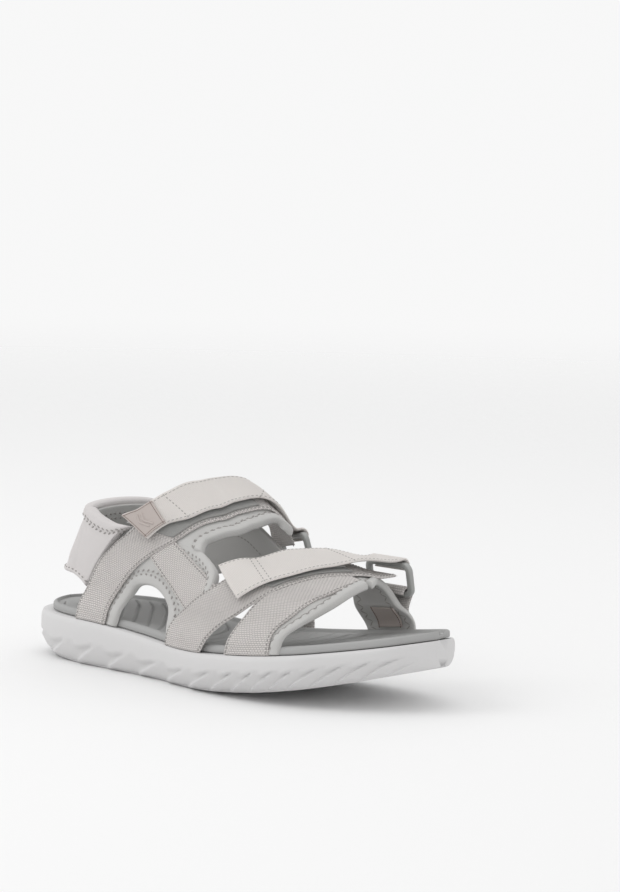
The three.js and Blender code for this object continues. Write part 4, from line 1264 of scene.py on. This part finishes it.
class SANDAL_OT_closures(Operator):
    """Makes the rings, their keepers, the flaps that fold round them and the hook and loop tapes"""
    bl_idname = "sandal.closures"
    bl_label = "Rings and flaps"

    def execute(self, context):
        closures = [
            ("instep", INSTEP_RING, REAR_LEG, INSTEP_FLAP, INSTEP_KEEPER, 0.7, (0.92, 0.2, 1.2), (26.0,)),
            ("forefoot", FOREFOOT_RING, FRONT_LEG, FOREFOOT_FLAP, FOREFOOT_KEEPER, 0.75,
             (0.62, 1.2, 2.6), (17.0, 20.0)),
        ]
        for place, ring, under, flap_edges, keeper_edges, hook_to, bridge, insets in closures:
            leave, straight, crown = bridge
            body = place + "_flap"
            loop = ring_mesh(place + "_strap_ring", ring)
            finish_piece(context, loop, place + "_ring", "plastic", [place + "_ring"])
            rows = rows_to_bar(foot_rows(flap_edges, "flap", (150, 30), (0, leave)), ring, ring["outer"],
                               np.pi * 0.52, -np.pi * 0.9, straight, crown)
            flap, face = ribbon(body + "_fabric", rows, WEB_THICK)
            finish_piece(context, flap, body, "flap", [body])
            edge_seams(context, body + "_seam", face, 1.8, spacing=2.2, width=0.4, height=0.35, body=body,
                       slot="flap", span=(0.02, 0.86))
            ends = [(f"cross_seam_{k + 1}", inset, 0) for k, inset in enumerate(insets)]
            for seam, inset, side in [*ends, ("ring_seam", 40.0, 1)]:
                sew(context, f"{body}_{seam}", end_path(face, inset, side), body=body, slot="flap",
                    spacing=2.0, length=1.5, width=0.5, height=0.4, span=(0.08, 0.92))
            rows = rows_to_bar(foot_rows(keeper_edges, "web", (30, 24)), ring, ring["keeper"],
                               -0.5, np.pi * 1.15)
            keeper, _ = ribbon(place + "_keeper_weave", rows, WEB_THICK)
            finish_piece(context, keeper, "shoe", "webbing", [place + "_keeper"])
            hook, _ = cut_piece(place + "_hook_pile", flap_edges, "hook", (90, 24), 0.3,
                                span=(0.06, hook_to), margin=0.06)
            finish_piece(context, hook, body, "tape", [place + "_hook_tape"])
            pile, _ = cut_piece(place + "_loop_pile", under, "loop", (90, 24), 0.3, span=(0.5, 0.85),
                                margin=0.1)
            finish_piece(context, pile, "shoe", "tape", [place + "_loop_tape"])
        return {"FINISHED"}


class SANDAL_OT_tab_patch(Operator):
    """Makes the patch on the instep flap's tab, with its border line and a plain chevron"""
    bl_idname = "sandal.tab_patch"
    bl_label = "Tab patch"

    def execute(self, context):
        patch, face = cut_piece("instep_tab_badge", TAB_PATCH, "patch", (80, 70), 0.5, margin=0.04)
        finish_piece(context, patch, "instep_flap", "patch", ["instep_tab_patch"])
        border = {"body": "instep_flap", "slot": "patch", "colour": "border", "spacing": 0.9, "length": 1.1,
                  "width": 0.4, "height": 0.25}
        edge_seams(context, "badge_border", face, 1.3, span=(0.06, 0.96), **border)
        for side in (0, 1):
            sew(context, f"badge_end_{side + 1}", end_path(face, 1.4, side), span=(0.06, 0.94), **border)
        rows, columns = face.shape[:2]
        normals = grid_normals(face)
        for k, bar in enumerate((0.36, 0.5)):
            v = np.linspace(0.3, 0.7, 60)
            i = ((bar + 0.55 * np.abs(v - 0.5)) * (rows - 1)).astype(int)
            j = (v * (columns - 1)).astype(int)
            sew(context, f"badge_chevron_{k + 1}", (face[i, j], normals[i, j]), body="instep_flap",
                slot="patch", colour="patch", spacing=0.7, length=1.6, width=1.6, height=0.8)
        return {"FINISHED"}


OPERATORS = (
    SANDAL_OT_stage, SANDAL_OT_sole, SANDAL_OT_linings, SANDAL_OT_collar, SANDAL_OT_webbing,
    SANDAL_OT_closures, SANDAL_OT_tab_patch,
)


class SANDAL_PT_panel(Panel):
    """Lists the settings and the pieces of the sandal"""
    bl_idname = "SANDAL_PT_panel"
    bl_label = "Strappy sport sandal"
    bl_space_type = "VIEW_3D"
    bl_region_type = "UI"
    bl_category = "Sandal"

    def draw(self, context):
        for group in (colours(context), sizes(context)):
            for name in group.bl_rna.properties.keys():
                if name not in ("rna_type", "name"):
                    self.layout.prop(group, name)
        for operator in OPERATORS:
            self.layout.operator(operator.bl_idname)


CLASSES = (SandalColours, SandalSizes, *OPERATORS, SANDAL_PT_panel)


def register():
    for entry in CLASSES:
        bpy.utils.register_class(entry)
    bpy.types.Scene.sandal_colours = PointerProperty(type=SandalColours)
    bpy.types.Scene.sandal_sizes = PointerProperty(type=SandalSizes)


def unregister():
    del bpy.types.Scene.sandal_sizes
    del bpy.types.Scene.sandal_colours
    for entry in reversed(CLASSES):
        bpy.utils.unregister_class(entry)


def main():
    register()
    for operator in OPERATORS:
        group, name = operator.bl_idname.split(".")
        getattr(getattr(bpy.ops, group), name)()


if __name__ == "__main__":
    main()
